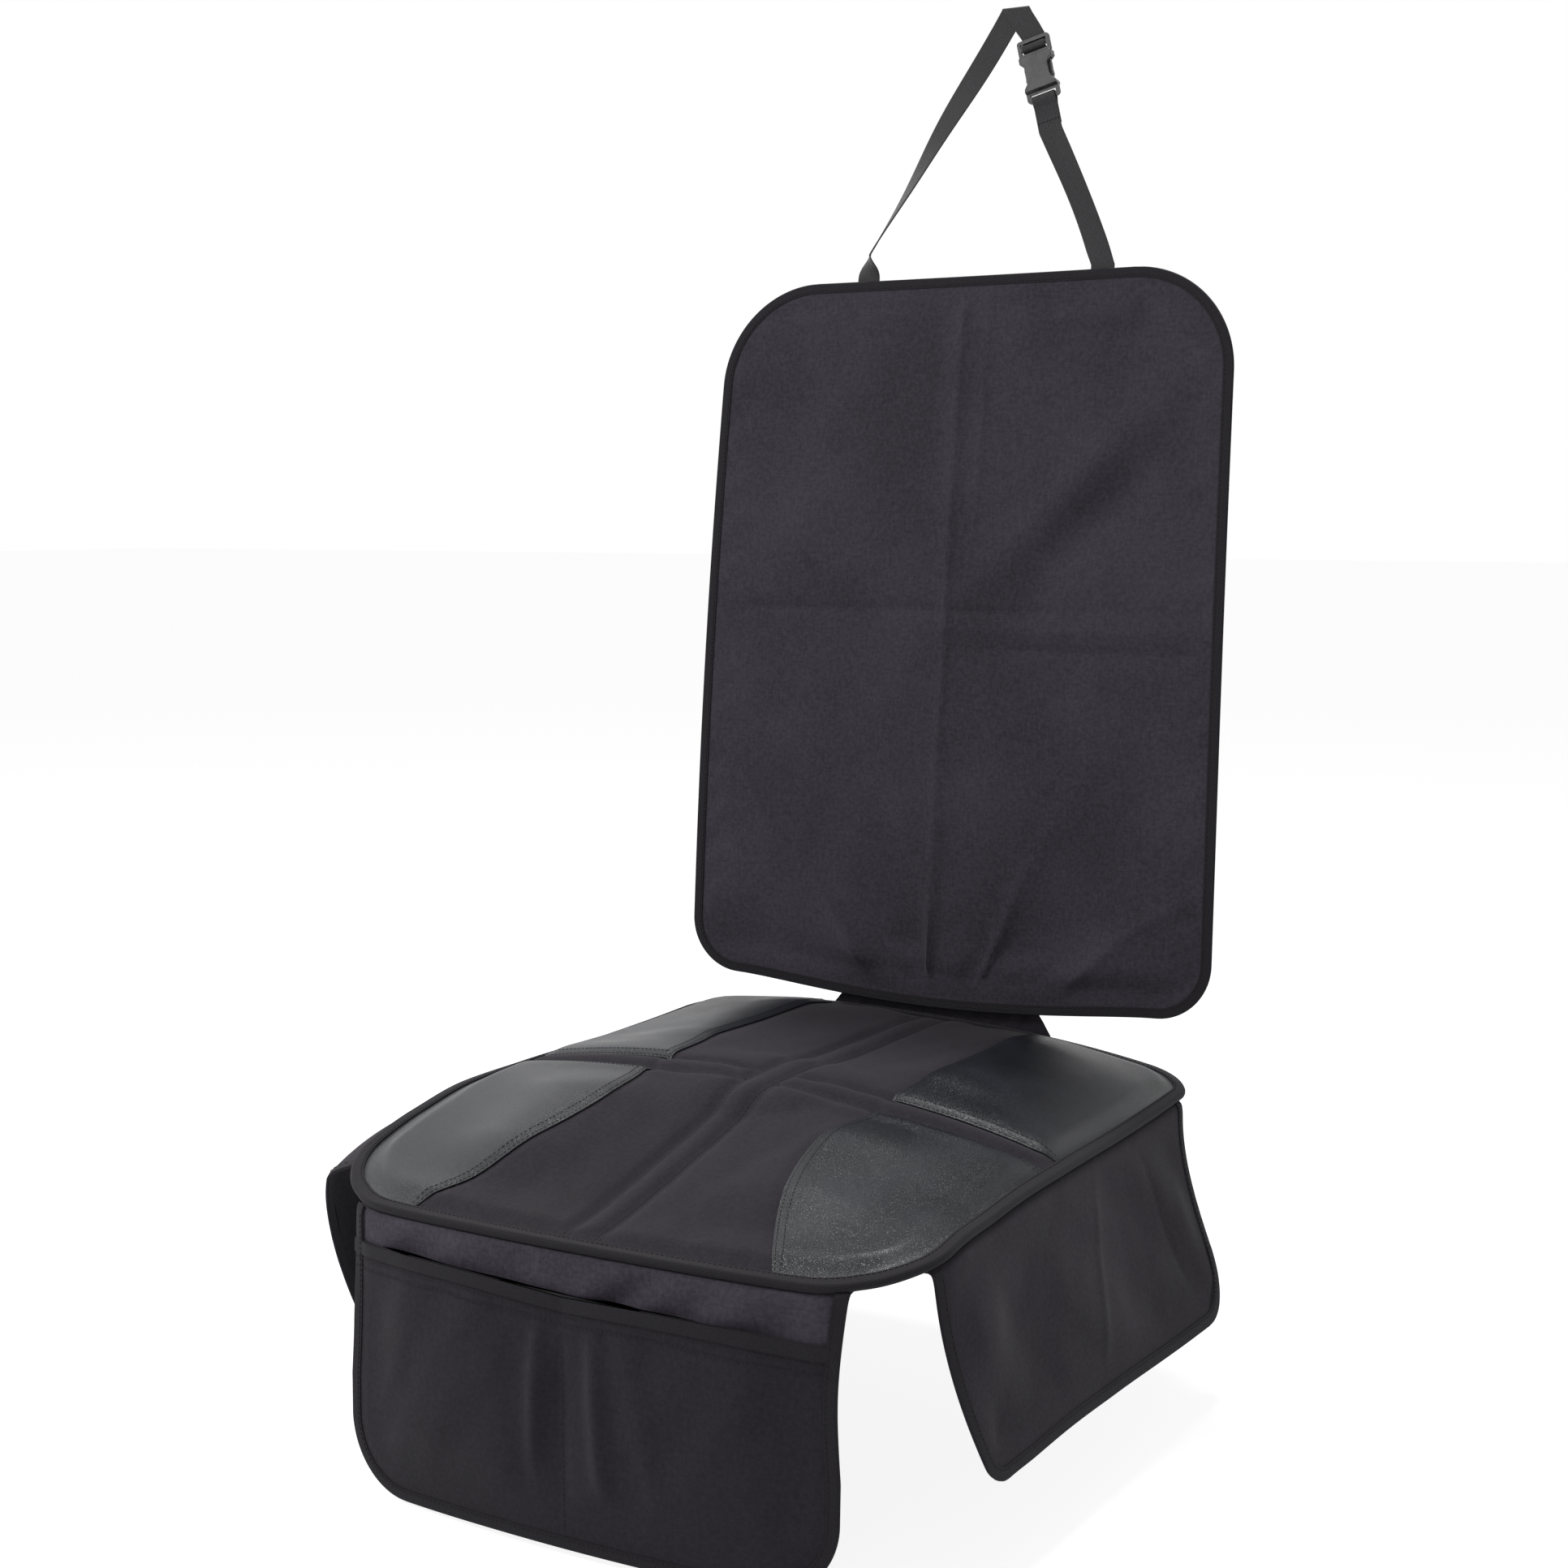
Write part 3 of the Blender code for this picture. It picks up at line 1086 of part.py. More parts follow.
def make_socket(group, cutters):
    """Socket: a waisted housing, open at its mouth and at two finger windows, with a webbing bar as its foot."""
    half = BUCKLE_HALF_WIDTH
    window_low, window_high = SOCKET_WINDOW
    outline = [(half - 0.0008, MOUTH_Z), (half, MOUTH_Z - 0.0008), (half, window_high + 0.0014)]
    outline += [(SOCKET_WAIST + 0.0016, window_high - 0.001), (SOCKET_WAIST, window_high - 0.004)]
    outline += [(SOCKET_WAIST, window_low + 0.005), (SOCKET_WAIST + 0.0012, window_low + 0.0016)]
    outline += [(half - 0.0004, window_low - 0.002), (half, window_low - 0.004)]
    outline += arc((half - 0.003, BUCKLE_FOOT + 0.003), 0.003, 0, -90)
    slot_low = BUCKLE_FOOT + FOOT_BAR
    inside = half - RAIL + EDGE_BREAK
    slot = mirrored([(inside, slot_low + FOOT_SLOT), (inside, slot_low)])
    mesh = flat_mesh([mirrored(outline), slot], SOCKET_HALF_DEPTH, EDGE_BREAK)
    seat_on_strap(mesh)
    piece = finish("buckle_socket", mesh, BLACK_PLASTIC, group)

    cavity = box_mesh((-half + SOCKET_WALL, -PLUG_HALF_DEPTH - CLEARANCE, CAVITY_FLOOR_Z),
                      (half - SOCKET_WALL, PLUG_HALF_DEPTH + CLEARANCE, MOUTH_Z + 0.005))
    seat_on_strap(cavity)
    cut(piece, cavity, "cavity", cutters)
    shoulder = slot_low + FOOT_SLOT + 0.0042
    depth = SOCKET_HALF_DEPTH - FOOT_HALF_DEPTH
    for sign, word in ((-1.0, "front"), (1.0, "back")):
        low_y, high_y = sorted((sign * FOOT_HALF_DEPTH, sign * (FOOT_HALF_DEPTH + depth + 0.002)))
        step = box_mesh((-half - 0.002, low_y, BUCKLE_FOOT - 0.002), (half + 0.002, high_y, shoulder))
        for vert in step.vertices:
            if vert.co.z > BUCKLE_FOOT and abs(vert.co.y) < SOCKET_HALF_DEPTH:
                vert.co.z -= 0.003
        seat_on_strap(step)
        cut(piece, step, f"{word}_step", cutters)


def main():
    """Build the whole mat."""
    clear_scene()
    group = new_collection(NAME)
    cutters = new_collection("cutters", visible=False)
    backing, cover = make_pad(group)
    make_patches(group)
    make_seat_binding(backing, cover, group)
    make_back_panel(group)
    make_neck(group)
    make_side_flap(1.0, "right", SIDE_BEND_RIGHT, group)
    make_side_flap(-1.0, "left", SIDE_BEND_LEFT, group)
    make_front_flap(group)
    make_upper_strap(group)
    make_lower_strap(group)
    make_plug(group)
    make_socket(group, cutters)


main()
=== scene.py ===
"""Car seat protector mat: its cloth, padding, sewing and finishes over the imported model."""
import math

import bmesh
import bpy
import numpy as np
from mathutils import Matrix, Vector, noise


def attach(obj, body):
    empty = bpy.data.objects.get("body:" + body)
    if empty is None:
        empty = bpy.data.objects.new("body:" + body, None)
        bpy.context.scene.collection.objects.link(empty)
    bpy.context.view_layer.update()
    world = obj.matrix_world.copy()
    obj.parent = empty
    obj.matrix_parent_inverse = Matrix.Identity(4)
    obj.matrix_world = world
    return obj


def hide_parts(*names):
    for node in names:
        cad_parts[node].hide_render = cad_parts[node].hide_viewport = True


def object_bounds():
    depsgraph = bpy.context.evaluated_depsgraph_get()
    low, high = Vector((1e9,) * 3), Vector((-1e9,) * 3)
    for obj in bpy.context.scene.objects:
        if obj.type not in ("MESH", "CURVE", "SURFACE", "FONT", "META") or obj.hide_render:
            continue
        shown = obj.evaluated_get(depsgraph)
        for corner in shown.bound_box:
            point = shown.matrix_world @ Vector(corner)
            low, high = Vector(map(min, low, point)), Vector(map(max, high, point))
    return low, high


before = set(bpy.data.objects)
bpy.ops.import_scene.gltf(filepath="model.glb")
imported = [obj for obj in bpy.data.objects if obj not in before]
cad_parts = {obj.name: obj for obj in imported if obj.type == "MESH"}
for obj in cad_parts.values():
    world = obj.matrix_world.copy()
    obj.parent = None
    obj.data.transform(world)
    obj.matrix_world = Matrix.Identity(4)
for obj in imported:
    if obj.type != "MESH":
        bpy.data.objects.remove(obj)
cad_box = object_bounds()

# Seat pad, in metres
PAD_W, PAD_FRONT, PAD_REAR, PAD_CORNER = 0.2245, -0.2455, 0.284, 0.0415
PAD_FRONT_CORNER = 0.068
PAD_BOW = 0.019
PAD_STEADY = 0.6
PAD_MIDDLE = [(-0.27, -0.0485), (-0.24, -0.047), (-0.18, -0.0375), (-0.125, -0.0262),
              (-0.08, -0.0165), (-0.045, -0.0085), (0.0, 0.0), (0.057, -0.0045), (0.12, -0.008),
              (0.195, -0.010), (0.30, -0.0125)]
PAD_SIDE = [(-0.27, -0.060), (-0.2455, -0.0535), (-0.20, -0.0425), (-0.12, -0.0368), (0.0, -0.0367),
            (0.14, -0.0405), (0.30, -0.040)]
BACKING, FOAM, COVER, PATCH, GAP = 0.0010, 0.0060, 0.0010, 0.0009, 0.0003
LIP = 0.008
EDGE_STACK = BACKING + GAP + FOAM * 0.12 + GAP + COVER + GAP + PATCH
BAND, BAND_Y = 0.012, -0.005
PATCH_REAR_EDGE, PATCH_WAIST, PATCH_SWEEP = 0.092, 0.006, 0.0545
PATCH_WAIST_ROW = -0.075
PAD_LEAN = 0.045                # slope of the pad down to its right side

# Back panel
PANEL_H, PANEL_W, PANEL_THICK = 0.595, 0.2358, 0.0018
PANEL_TOP_R, PANEL_FOOT_R = 0.085, 0.046
PANEL_FOOT = (0.280, 0.0127)
LEAN = math.radians(5.4)
PANEL_TAPER, PANEL_BELLY, PANEL_CURL = 0.009, 0.007, 0.005
PANEL_DIP, PANEL_DIP_HALF = 0.012, 0.19
UPPER_LEVEL, LOWER_LEVEL = 0.319, 0.287     # creases across the panel

# Flaps
CLOTH, TONGUE = 0.0009, 0.009
UNDER = 0.0016                  # depth of the flaps' sewn strips under the pad
SIDE_DROP, SIDE_Y0, SIDE_Y1 = 0.150, -0.203, 0.214
SIDE_R0, SIDE_R1 = 0.016, 0.046
SIDE_SWEEP, SIDE_SHOULDER = 0.031, 0.030
FRONT_W, FRONT_DROP, FRONT_R = 0.186, 0.196, 0.052
POCKET_DEPTH, POCKET_SEAM, POCKET_BELLY = 0.150, -0.002, 0.0115
FRONT_TURN, FRONT_WAIST, FRONT_SLANT = 0.0035, 0.003, 0.003

# Strap and buckle
WEB, WEB_THICK = 0.020, 0.0013
STRAP_LEFT, STRAP_RIGHT = -0.097, 0.113
APEX = (0.0265, 0.8115)
FOLD = 0.0013
BUCKLE_AT, BUCKLE_TILT = (0.0512, 0.7585), math.radians(14.8)

# Sewing
STITCH, TAPE_PITCH = 0.0036, 0.0026
TAPE_SEAM = LIP - 0.0016


# Small tools

def smooth(share):
    share = min(max(share, 0.0), 1.0)
    return share * share * (3.0 - 2.0 * share)


def mix(first, last, share):
    return first + (last - first) * share


def bell(distance, width):
    return math.exp(-(distance / width) ** 2)


def uneven(a, b, c):
    """Smooth noise at a place, from -1 to 1."""
    return noise.noise(Vector((a, b, c)))


def steps(first, last, count):
    return [mix(first, last, i / count) for i in range(count + 1)]


def through(points, place):
    """Smooth value at a place, through points of (place, value)."""
    last = len(points) - 2
    at = max(i for i in range(last + 1) if points[i][0] <= place or i == 0)
    (x0, y0), (x1, y1) = points[at], points[at + 1]

    def slope(i):
        low, high = points[max(i - 1, 0)], points[min(i + 1, last + 1)]
        return (high[1] - low[1]) / (high[0] - low[0])

    span = x1 - x0
    share = (place - x0) / span
    start = y0 + slope(at) * span * share
    end = y1 - slope(at + 1) * span * (1.0 - share)
    return mix(start, end, smooth(share))


def corner_cut(depth, radius):
    if depth >= radius:
        return 0.0
    return radius - math.sqrt(max(radius ** 2 - (radius - max(depth, 0.0)) ** 2, 0.0))


def edge_distance(to_side, to_end, radius):
    if to_side < radius and to_end < radius:
        return radius - math.hypot(radius - to_side, radius - to_end)
    return min(to_side, to_end)


def ends_dense(count):
    """Shares from 0 to 1, closer together at both ends."""
    few = [0.0, 0.0015, 0.004, 0.008, 0.014, 0.022]
    return few + steps(0.032, 0.968, count) + [1.0 - s for s in reversed(few)]


def only(piece):
    """Select one piece alone."""
    bpy.ops.object.select_all(action="DESELECT")
    piece.select_set(True)
    bpy.context.view_layer.objects.active = piece


def apply_all(piece):
    """Apply a piece's modifiers."""
    only(piece)
    for modifier in list(piece.modifiers):
        bpy.ops.object.modifier_apply(modifier=modifier.name)


def normal_of(spot, a, b, step=0.0006):
    """Unit normal of a surface, to the side of a x b."""
    across = spot(a + step, b) - spot(a - step, b)
    along = spot(a, b + step) - spot(a, b - step)
    return across.cross(along).normalized()


def new_grid(name, columns, rows, places, marks):
    """Grid of so many points each way, at their places, with their marks as its UV map."""
    bpy.ops.object.select_all(action="DESELECT")
    bpy.ops.mesh.primitive_grid_add(x_subdivisions=columns - 1, y_subdivisions=rows - 1, size=1.0)
    piece = bpy.context.active_object
    piece.name = name
    mesh = piece.data
    mesh.name = name
    mesh.vertices.foreach_set("co", np.array(places, dtype=np.float32).ravel())
    corner_of = np.zeros(len(mesh.loops), dtype=np.int32)
    mesh.loops.foreach_get("vertex_index", corner_of)
    mesh.uv_layers.active.data.foreach_set("uv", np.array(marks, dtype=np.float32)[corner_of].ravel())
    mesh.update()
    return piece


def cloth_grid(name, flat, spot, columns, rows, finish, thickness, offset, nodes=()):
    """Cloth over a surface: flat(s, t) is its cut in metres, and spot(a, b) is where it lies."""
    cut = [flat(s, t) for t in rows for s in columns]
    piece = new_grid(name, len(columns), len(rows), [spot(a, b) for a, b in cut], cut)
    dress(piece, finish, nodes)
    if thickness:
        solid = piece.modifiers.new("thickness", "SOLIDIFY")
        solid.thickness = thickness
        solid.offset = offset
        solid.use_quality_normals = True
        apply_all(piece)
    only(piece)
    bpy.ops.object.shade_smooth_by_angle(angle=math.radians(50))
    return piece


def dress(piece, finish, nodes=()):
    """Give a piece its finish, its body and the nodes that it stands for."""
    piece.data.materials.clear()
    piece.data.materials.append(finish)
    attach(piece, "root")
    if nodes:
        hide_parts(*nodes)


def walk(points, pitch, closed=False):
    """Evenly spaced points along a flat route."""
    if closed:
        points = points + [points[0]]
    lengths = [0.0]
    for (a0, b0), (a1, b1) in zip(points, points[1:]):
        lengths.append(lengths[-1] + math.hypot(a1 - a0, b1 - b0))
    count = max(int(round(lengths[-1] / pitch)), 1)
    found = []
    at = 0
    for i in range(count if closed else count + 1):
        want = lengths[-1] * i / count
        while at < len(points) - 2 and lengths[at + 1] < want:
            at += 1
        share = (want - lengths[at]) / max(lengths[at + 1] - lengths[at], 1e-9)
        (a0, b0), (a1, b1) = points[at], points[at + 1]
        found.append((mix(a0, a1, share), mix(b0, b1, share)))
    return found


def inward(route, closed, side):
    """Unit vector to the side of each point of a flat route: 1 is its left."""
    count = len(route)
    found = []
    for i in range(count):
        before = route[(i - 1) % count] if closed or i > 0 else route[i]
        after = route[(i + 1) % count] if closed or i < count - 1 else route[i]
        da, db = after[0] - before[0], after[1] - before[1]
        length = math.hypot(da, db) or 1.0
        found.append((-side * db / length, side * da / length))
    return found


def tape(name, route, spot, lift, total, closed, side, out, nodes, lip=LIP, thick=0.0008):
    """Edge tape folded round a sheet whose outer face is at lift over spot, total thick below it."""
    route = walk(route, TAPE_PITCH, closed)
    ways = inward(route, closed, side)
    radius = total / 2 + thick
    profile = [(lip, 0.0), (lip, thick), (lip * 0.7, thick * 1.15), (lip * 0.4, thick * 1.1),
               (0.0012, thick)]
    for angle in steps(75, -75, 6):
        at = math.radians(angle)
        profile.append((0.0008 - radius * math.cos(at), -total / 2 + radius * math.sin(at)))
    profile += [(0.0012, -total - thick), (lip * 0.5, -total - thick * 1.1), (lip, -total - thick),
                (lip, -total)]
    rings = []
    run = 0.0
    for i, ((a, b), (na, nb)) in enumerate(zip(route, ways)):
        edge = spot(a + na * 0.0005, b + nb * 0.0005)
        inner = spot(a + na * 0.004, b + nb * 0.004)
        away = (edge - inner).normalized()
        normal = out * normal_of(spot, a + na * 0.004, b + nb * 0.004)
        pucker = 1.0 + 0.10 * uneven(run * 160.0, total * 500.0, 0.0)
        ring = []
        for depth, height in profile:
            grown = height * pucker if height > 0.0 else height
            if depth > 0.0:
                base = spot(a + na * depth, b + nb * depth)
            else:
                base = edge - away * depth
            ring.append(base + normal * (lift + grown))
        rings.append(ring)
        run += TAPE_PITCH
    if closed:
        rings.append(rings[0])
    across = np.cumsum([0.0] + [math.hypot(p[0] - q[0], p[1] - q[1]) for p, q in zip(profile, profile[1:])])
    marks = [(u, TAPE_PITCH * r) for r in range(len(rings)) for u in across]
    piece = new_grid(name, len(profile), len(rings), rings, marks)
    rework(piece.data, lambda bm: close_shell(bm, closed))
    dress(piece, TAPE_FINISH, nodes)
    only(piece)
    bpy.ops.object.shade_smooth_by_angle(angle=math.radians(60))
    return piece


def rework(mesh, change=None):
    """Change a mesh's faces, and turn them all outwards."""
    bm = bmesh.new()
    bm.from_mesh(mesh)
    if change:
        change(bm)
    bmesh.ops.recalc_face_normals(bm, faces=bm.faces)
    bm.to_mesh(mesh)
    bm.free()


def border(bm):
    return [e for e in bm.edges if e.is_boundary]


def close_shell(bm, closed):
    """Join a closed tape's first and last lines. An open tape's whole border gets one face."""
    if closed:
        bmesh.ops.remove_doubles(bm, verts=bm.verts, dist=0.00001)
        bmesh.ops.bridge_loops(bm, edges=border(bm))
    else:
        bmesh.ops.holes_fill(bm, edges=border(bm), sides=0)


def whole_outline(flat):
    """Edge of a cut, from its first corner, anticlockwise."""
    across, along = steps(0.0, 1.0, 300), steps(0.0, 1.0, 1500)[1:-1]
    found = [flat(s, 0.0) for s in across] + [flat(1.0, t) for t in along]
    return found + [flat(1.0 - s, 1.0) for s in across] + [flat(0.0, 1.0 - t) for t in along]


def hung_outline(at, first, last):
    """Edge of a hanging cut: down one side, along its foot and up the other. at(s, drop) is on it."""
    drops = steps(first, last, 900)
    foot = [at(s, last) for s in steps(0.0, 1.0, 300)[1:-1]]
    return [at(0.0, d) for d in drops] + foot + [at(1.0, d) for d in reversed(drops)]


def stitch_shape():
    """One stitch: a thread that dips into the cloth at both ends."""
    bpy.ops.object.select_all(action="DESELECT")
    bpy.ops.mesh.primitive_uv_sphere_add(segments=6, ring_count=4, radius=1.0)
    ball = bpy.context.active_object
    shape = [v.co.copy() for v in ball.data.vertices]
    faces = [tuple(f.vertices) for f in ball.data.polygons]
    bpy.data.objects.remove(ball)
    return [Vector((p.z, p.x, p.y)) for p in shape], faces


STITCHES = []
THREAD, THREAD_FACES = stitch_shape()


def sew(route, spot, lift, out, closed=False, pitch=STITCH, length=0.0028, width=0.00040, height=0.00028):
    """A line of stitches along a flat route."""
    line = walk(route, pitch, closed)
    ways = inward(line, closed, 1.0)
    for (a, b), (na, nb) in zip(line, ways):
        normal = out * normal_of(spot, a, b)
        ahead = spot(a + nb * 0.0008, b - na * 0.0008) - spot(a - nb * 0.0008, b + na * 0.0008)
        ahead = ahead.normalized()
        across = normal.cross(ahead)
        centre = spot(a, b) + normal * lift
        turn = Matrix((ahead * length / 2, across * width, normal * height)).transposed()
        STITCHES.append([centre + turn @ p for p in THREAD])


def sew_tape(outline, spot, lift, out, closed, side):
    """The line of stitches that holds an edge tape, along a sheet's outline."""
    route = walk(outline, STITCH, closed)
    ways = inward(route, closed, side)
    line = [(a + na * TAPE_SEAM, b + nb * TAPE_SEAM) for (a, b), (na, nb) in zip(route, ways)]
    sew(line if closed else line[2:-2], spot, lift, out, closed)


def finish_sewing(name, finish):
    """One piece of all the stitches so far."""
    points = [p for stitch in STITCHES for p in stitch]
    count = len(THREAD)
    faces = [tuple(i * count + v for v in face) for i in range(len(STITCHES)) for face in THREAD_FACES]
    mesh = bpy.data.meshes.new(name)
    mesh.from_pydata(points, [], faces)
    mesh.shade_smooth()
    rework(mesh)
    piece = bpy.data.objects.new(name, mesh)
    bpy.context.scene.collection.objects.link(piece)
    dress(piece, finish)
    STITCHES.clear()
    return piece


# Finishes

class Tree:
    """A node tree and the ways to add to it."""

    def __init__(self, tree):
        self.tree = tree

    def add(self, kind, **values):
        node = self.tree.nodes.new("ShaderNode" + kind)
        for key, value in values.items():
            if key in node.inputs:
                node.inputs[key].default_value = value
            else:
                setattr(node, key, value)
        return node

    def link(self, source, target):
        self.tree.links.new(source, target)

    def math(self, operation, first, second=None):
        node = self.add("Math", operation=operation)
        for socket, value in zip(node.inputs, (first, second)):
            if value is None:
                continue
            if isinstance(value, (int, float)):
                socket.default_value = value
            else:
                self.link(value, socket)
        return node.outputs[0]

    def blend(self, low, high, share):
        """Colour between two others."""
        node = self.add("Mix", data_type="RGBA")
        node.inputs["A"].default_value = (*low, 1.0)
        node.inputs["B"].default_value = (*high, 1.0)
        self.link(share, node.inputs["Factor"])
        return node.outputs["Result"]

    def spread(self, source, low, high, to_low=0.0, to_high=1.0):
        node = self.add("MapRange")
        for key, value in (("From Min", low), ("From Max", high), ("To Min", to_low), ("To Max", to_high)):
            node.inputs[key].default_value = value
        self.link(source, node.inputs["Value"])
        return node.outputs[0]

    def speckle(self, where, scale, detail=3.0):
        node = self.add("TexNoise", Scale=scale, Detail=detail)
        self.link(where, node.inputs["Vector"])
        return node.outputs["Fac"]

    def raised(self, height, distance, strength):
        """Bump of a height in metres at full strength."""
        node = self.add("Bump", Strength=strength, Distance=distance)
        self.link(height, node.inputs["Height"])
        return node.outputs["Normal"]

    def wave(self, coordinate, pitch):
        """Rounded ridges along a coordinate, from -1 to 1."""
        return self.math("SINE", self.math("MULTIPLY", coordinate, 2.0 * math.pi / pitch))

    def place(self):
        return self.add("TexCoord").outputs["Object"]

    def cut(self):
        """The piece's cut, and its two coordinates."""
        whole = self.add("UVMap").outputs["UV"]
        split = self.add("SeparateXYZ")
        self.link(whole, split.inputs[0])
        return whole, split.outputs["X"], split.outputs["Y"]

    def seen(self):
        """1 for the camera's, reflected and transmitted rays, and 0 for those that light the mat."""
        rays = self.add("LightPath").outputs
        return self.math("MAXIMUM", rays["Is Camera Ray"],
                         self.math("MAXIMUM", rays["Is Glossy Ray"], rays["Is Transmission Ray"]))


class Finish(Tree):
    """A finish's material, with its shader's plain values."""

    def __init__(self, name, colour, roughness, specular=0.5, sheen=0.0, sheen_roughness=0.5):
        self.material = bpy.data.materials.new(name)
        self.material.use_nodes = True
        super().__init__(self.material.node_tree)
        self.shader = self.tree.nodes["Principled BSDF"]
        self.shader.inputs["Base Color"].default_value = (*colour, 1.0)
        for socket, value in (("Roughness", roughness), ("Specular IOR Level", specular),
                              ("Sheen Weight", sheen), ("Sheen Roughness", sheen_roughness)):
            self.shader.inputs[socket].default_value = value


def woven(name, dark, light, roughness, sheen, pitch=0.0011, patchy=0.35):
    """Plain weave on the piece's own cut, with uneven yarns and a faded, handled look."""
    n = Finish(name, dark, roughness, 0.18, sheen, 0.45)
    cut, u, v = n.cut()
    place = n.place()
    yarn = n.spread(n.math("MULTIPLY", n.wave(u, pitch), n.wave(v, pitch)), -1.0, 1.0)
    uneven = []
    for scale in ((1500.0, 60.0, 1.0), (60.0, 1500.0, 1.0)):
        stretched = n.add("Mapping", Scale=scale)
        n.link(cut, stretched.inputs["Vector"])
        uneven.append(n.speckle(stretched.outputs["Vector"], 1.0, 2.0))
    slubs = n.math("ADD", *uneven)
    faded = n.speckle(place, 9.0, 4.0)
    share = n.math("MULTIPLY", yarn, 0.35)
    share = n.math("ADD", share, n.spread(slubs, 0.6, 1.4, 0.0, 0.45))
    share = n.math("ADD", share, n.spread(faded, 0.3, 0.7, -patchy / 2, patchy))
    share = n.math("ADD", share, n.spread(n.speckle(place, 330.0, 2.0), 0.3, 0.7, -0.22, 0.22))
    n.link(n.blend(dark, light, share), n.shader.inputs["Base Color"])
    height = n.math("ADD", n.math("MULTIPLY", yarn, 0.7), n.math("MULTIPLY", slubs, 0.5))
    n.link(n.raised(height, 0.00018, 0.8), n.shader.inputs["Normal"])
    n.link(n.spread(faded, 0.3, 0.7, roughness - 0.06, roughness + 0.05), n.shader.inputs["Roughness"])
    return n.material


def ribbed(name, dark, light, roughness, pitch_u, pitch_v, sheen):
    """Tape or webbing: ribs along its length, with fine picks across them."""
    n = Finish(name, dark, roughness, 0.20, sheen, 0.4)
    _, u, v = n.cut()
    ribs = n.spread(n.wave(u, pitch_u), -1.0, 1.0)
    picks = n.spread(n.wave(v, pitch_v), -1.0, 1.0)
    fuzz = n.speckle(n.place(), 900.0, 2.0)
    height = n.math("ADD", n.math("MULTIPLY", ribs, 0.6), n.math("MULTIPLY", picks, 0.35))
    share = n.math("ADD", n.math("MULTIPLY", height, 0.55), n.spread(fuzz, 0.3, 0.7, -0.1, 0.4))
    n.link(n.blend(dark, light, share), n.shader.inputs["Base Color"])
    n.link(n.raised(height, 0.0002, 0.8), n.shader.inputs["Normal"])
    return n.material


def leather_look():
    """Coated cloth with a pebbled grain, satin and a little worn to grey on its high spots."""
    n = Finish("leather_look_satin", (0.015, 0.017, 0.018), 0.38, 0.28)
    n.shader.inputs["Coat Weight"].default_value = 0.03
    n.shader.inputs["Coat Roughness"].default_value = 0.30
    place = n.place()
    bent = n.add("TexNoise", Scale=260.0, Detail=2.0)
    n.link(place, bent.inputs["Vector"])
    warped = n.add("VectorMath", operation="MULTIPLY_ADD")
    n.link(bent.outputs["Color"], warped.inputs[0])
    warped.inputs[1].default_value = (0.0012, 0.0012, 0.0012)
    n.link(place, warped.inputs[2])
    cells = n.add("TexVoronoi", feature="DISTANCE_TO_EDGE", Scale=820.0)
    n.link(warped.outputs[0], cells.inputs["Vector"])
    pebble = n.spread(cells.outputs["Distance"], 0.0, 0.22)
    cloudy = n.speckle(place, 16.0, 5.0)
    share = n.math("ADD", n.math("MULTIPLY", pebble, 0.35), n.spread(cloudy, 0.35, 0.7, -0.05, 0.55))
    n.link(n.blend((0.005, 0.0055, 0.0075), (0.016, 0.018, 0.024), share), n.shader.inputs["Base Color"])
    n.link(n.raised(pebble, 0.00014, 0.7), n.shader.inputs["Normal"])
    n.link(n.spread(cloudy, 0.3, 0.7, 0.31, 0.42), n.shader.inputs["Roughness"])
    return n.material


def moulded():
    """Satin moulded plastic with a fine spark-eroded grain and lighter rubbed patches."""
    n = Finish("buckle_moulded", (0.020, 0.020, 0.021), 0.38)
    place = n.place()
    grain = n.speckle(place, 2600.0, 2.0)
    worn = n.speckle(place, 120.0, 4.0)
    n.link(n.blend((0.016, 0.016, 0.017), (0.045, 0.045, 0.047), n.spread(worn, 0.45, 0.8)),
           n.shader.inputs["Base Color"])
    n.link(n.raised(grain, 0.00003, 0.6), n.shader.inputs["Normal"])
    n.link(n.spread(worn, 0.3, 0.7, 0.30, 0.46), n.shader.inputs["Roughness"])
    return n.material


def dotted_rubber():
    """Non-slip underside: cloth with rows of small soft dots."""
    n = Finish("non_slip_dots", (0.030, 0.030, 0.032), 0.85)
    cells = n.add("TexVoronoi", Scale=240.0, Randomness=0.0)
    n.link(n.cut()[0], cells.inputs["Vector"])
    dots = n.spread(cells.outputs["Distance"], 0.34, 0.24)
    fuzz = n.speckle(n.place(), 700.0, 3.0)
    share = n.math("ADD", n.math("MULTIPLY", dots, 0.6), n.spread(fuzz, 0.3, 0.7, -0.15, 0.3))
    n.link(n.blend((0.045, 0.044, 0.048), (0.014, 0.014, 0.015), share), n.shader.inputs["Base Color"])
    n.link(n.raised(dots, 0.0006, 0.8), n.shader.inputs["Normal"])
    n.link(n.spread(dots, 0.0, 1.0, 0.92, 0.55), n.shader.inputs["Roughness"])
    return n.material


def thread_finish():
    """Bonded sewing thread with its twist."""
    n = Finish("thread_twist", (0.016, 0.015, 0.018), 0.75, 0.15)
    twist = n.speckle(n.place(), 3200.0, 1.0)
    n.link(n.blend((0.006, 0.005, 0.007), (0.020, 0.018, 0.022), n.spread(twist, 0.3, 0.7)),
           n.shader.inputs["Base Color"])
    return n.material


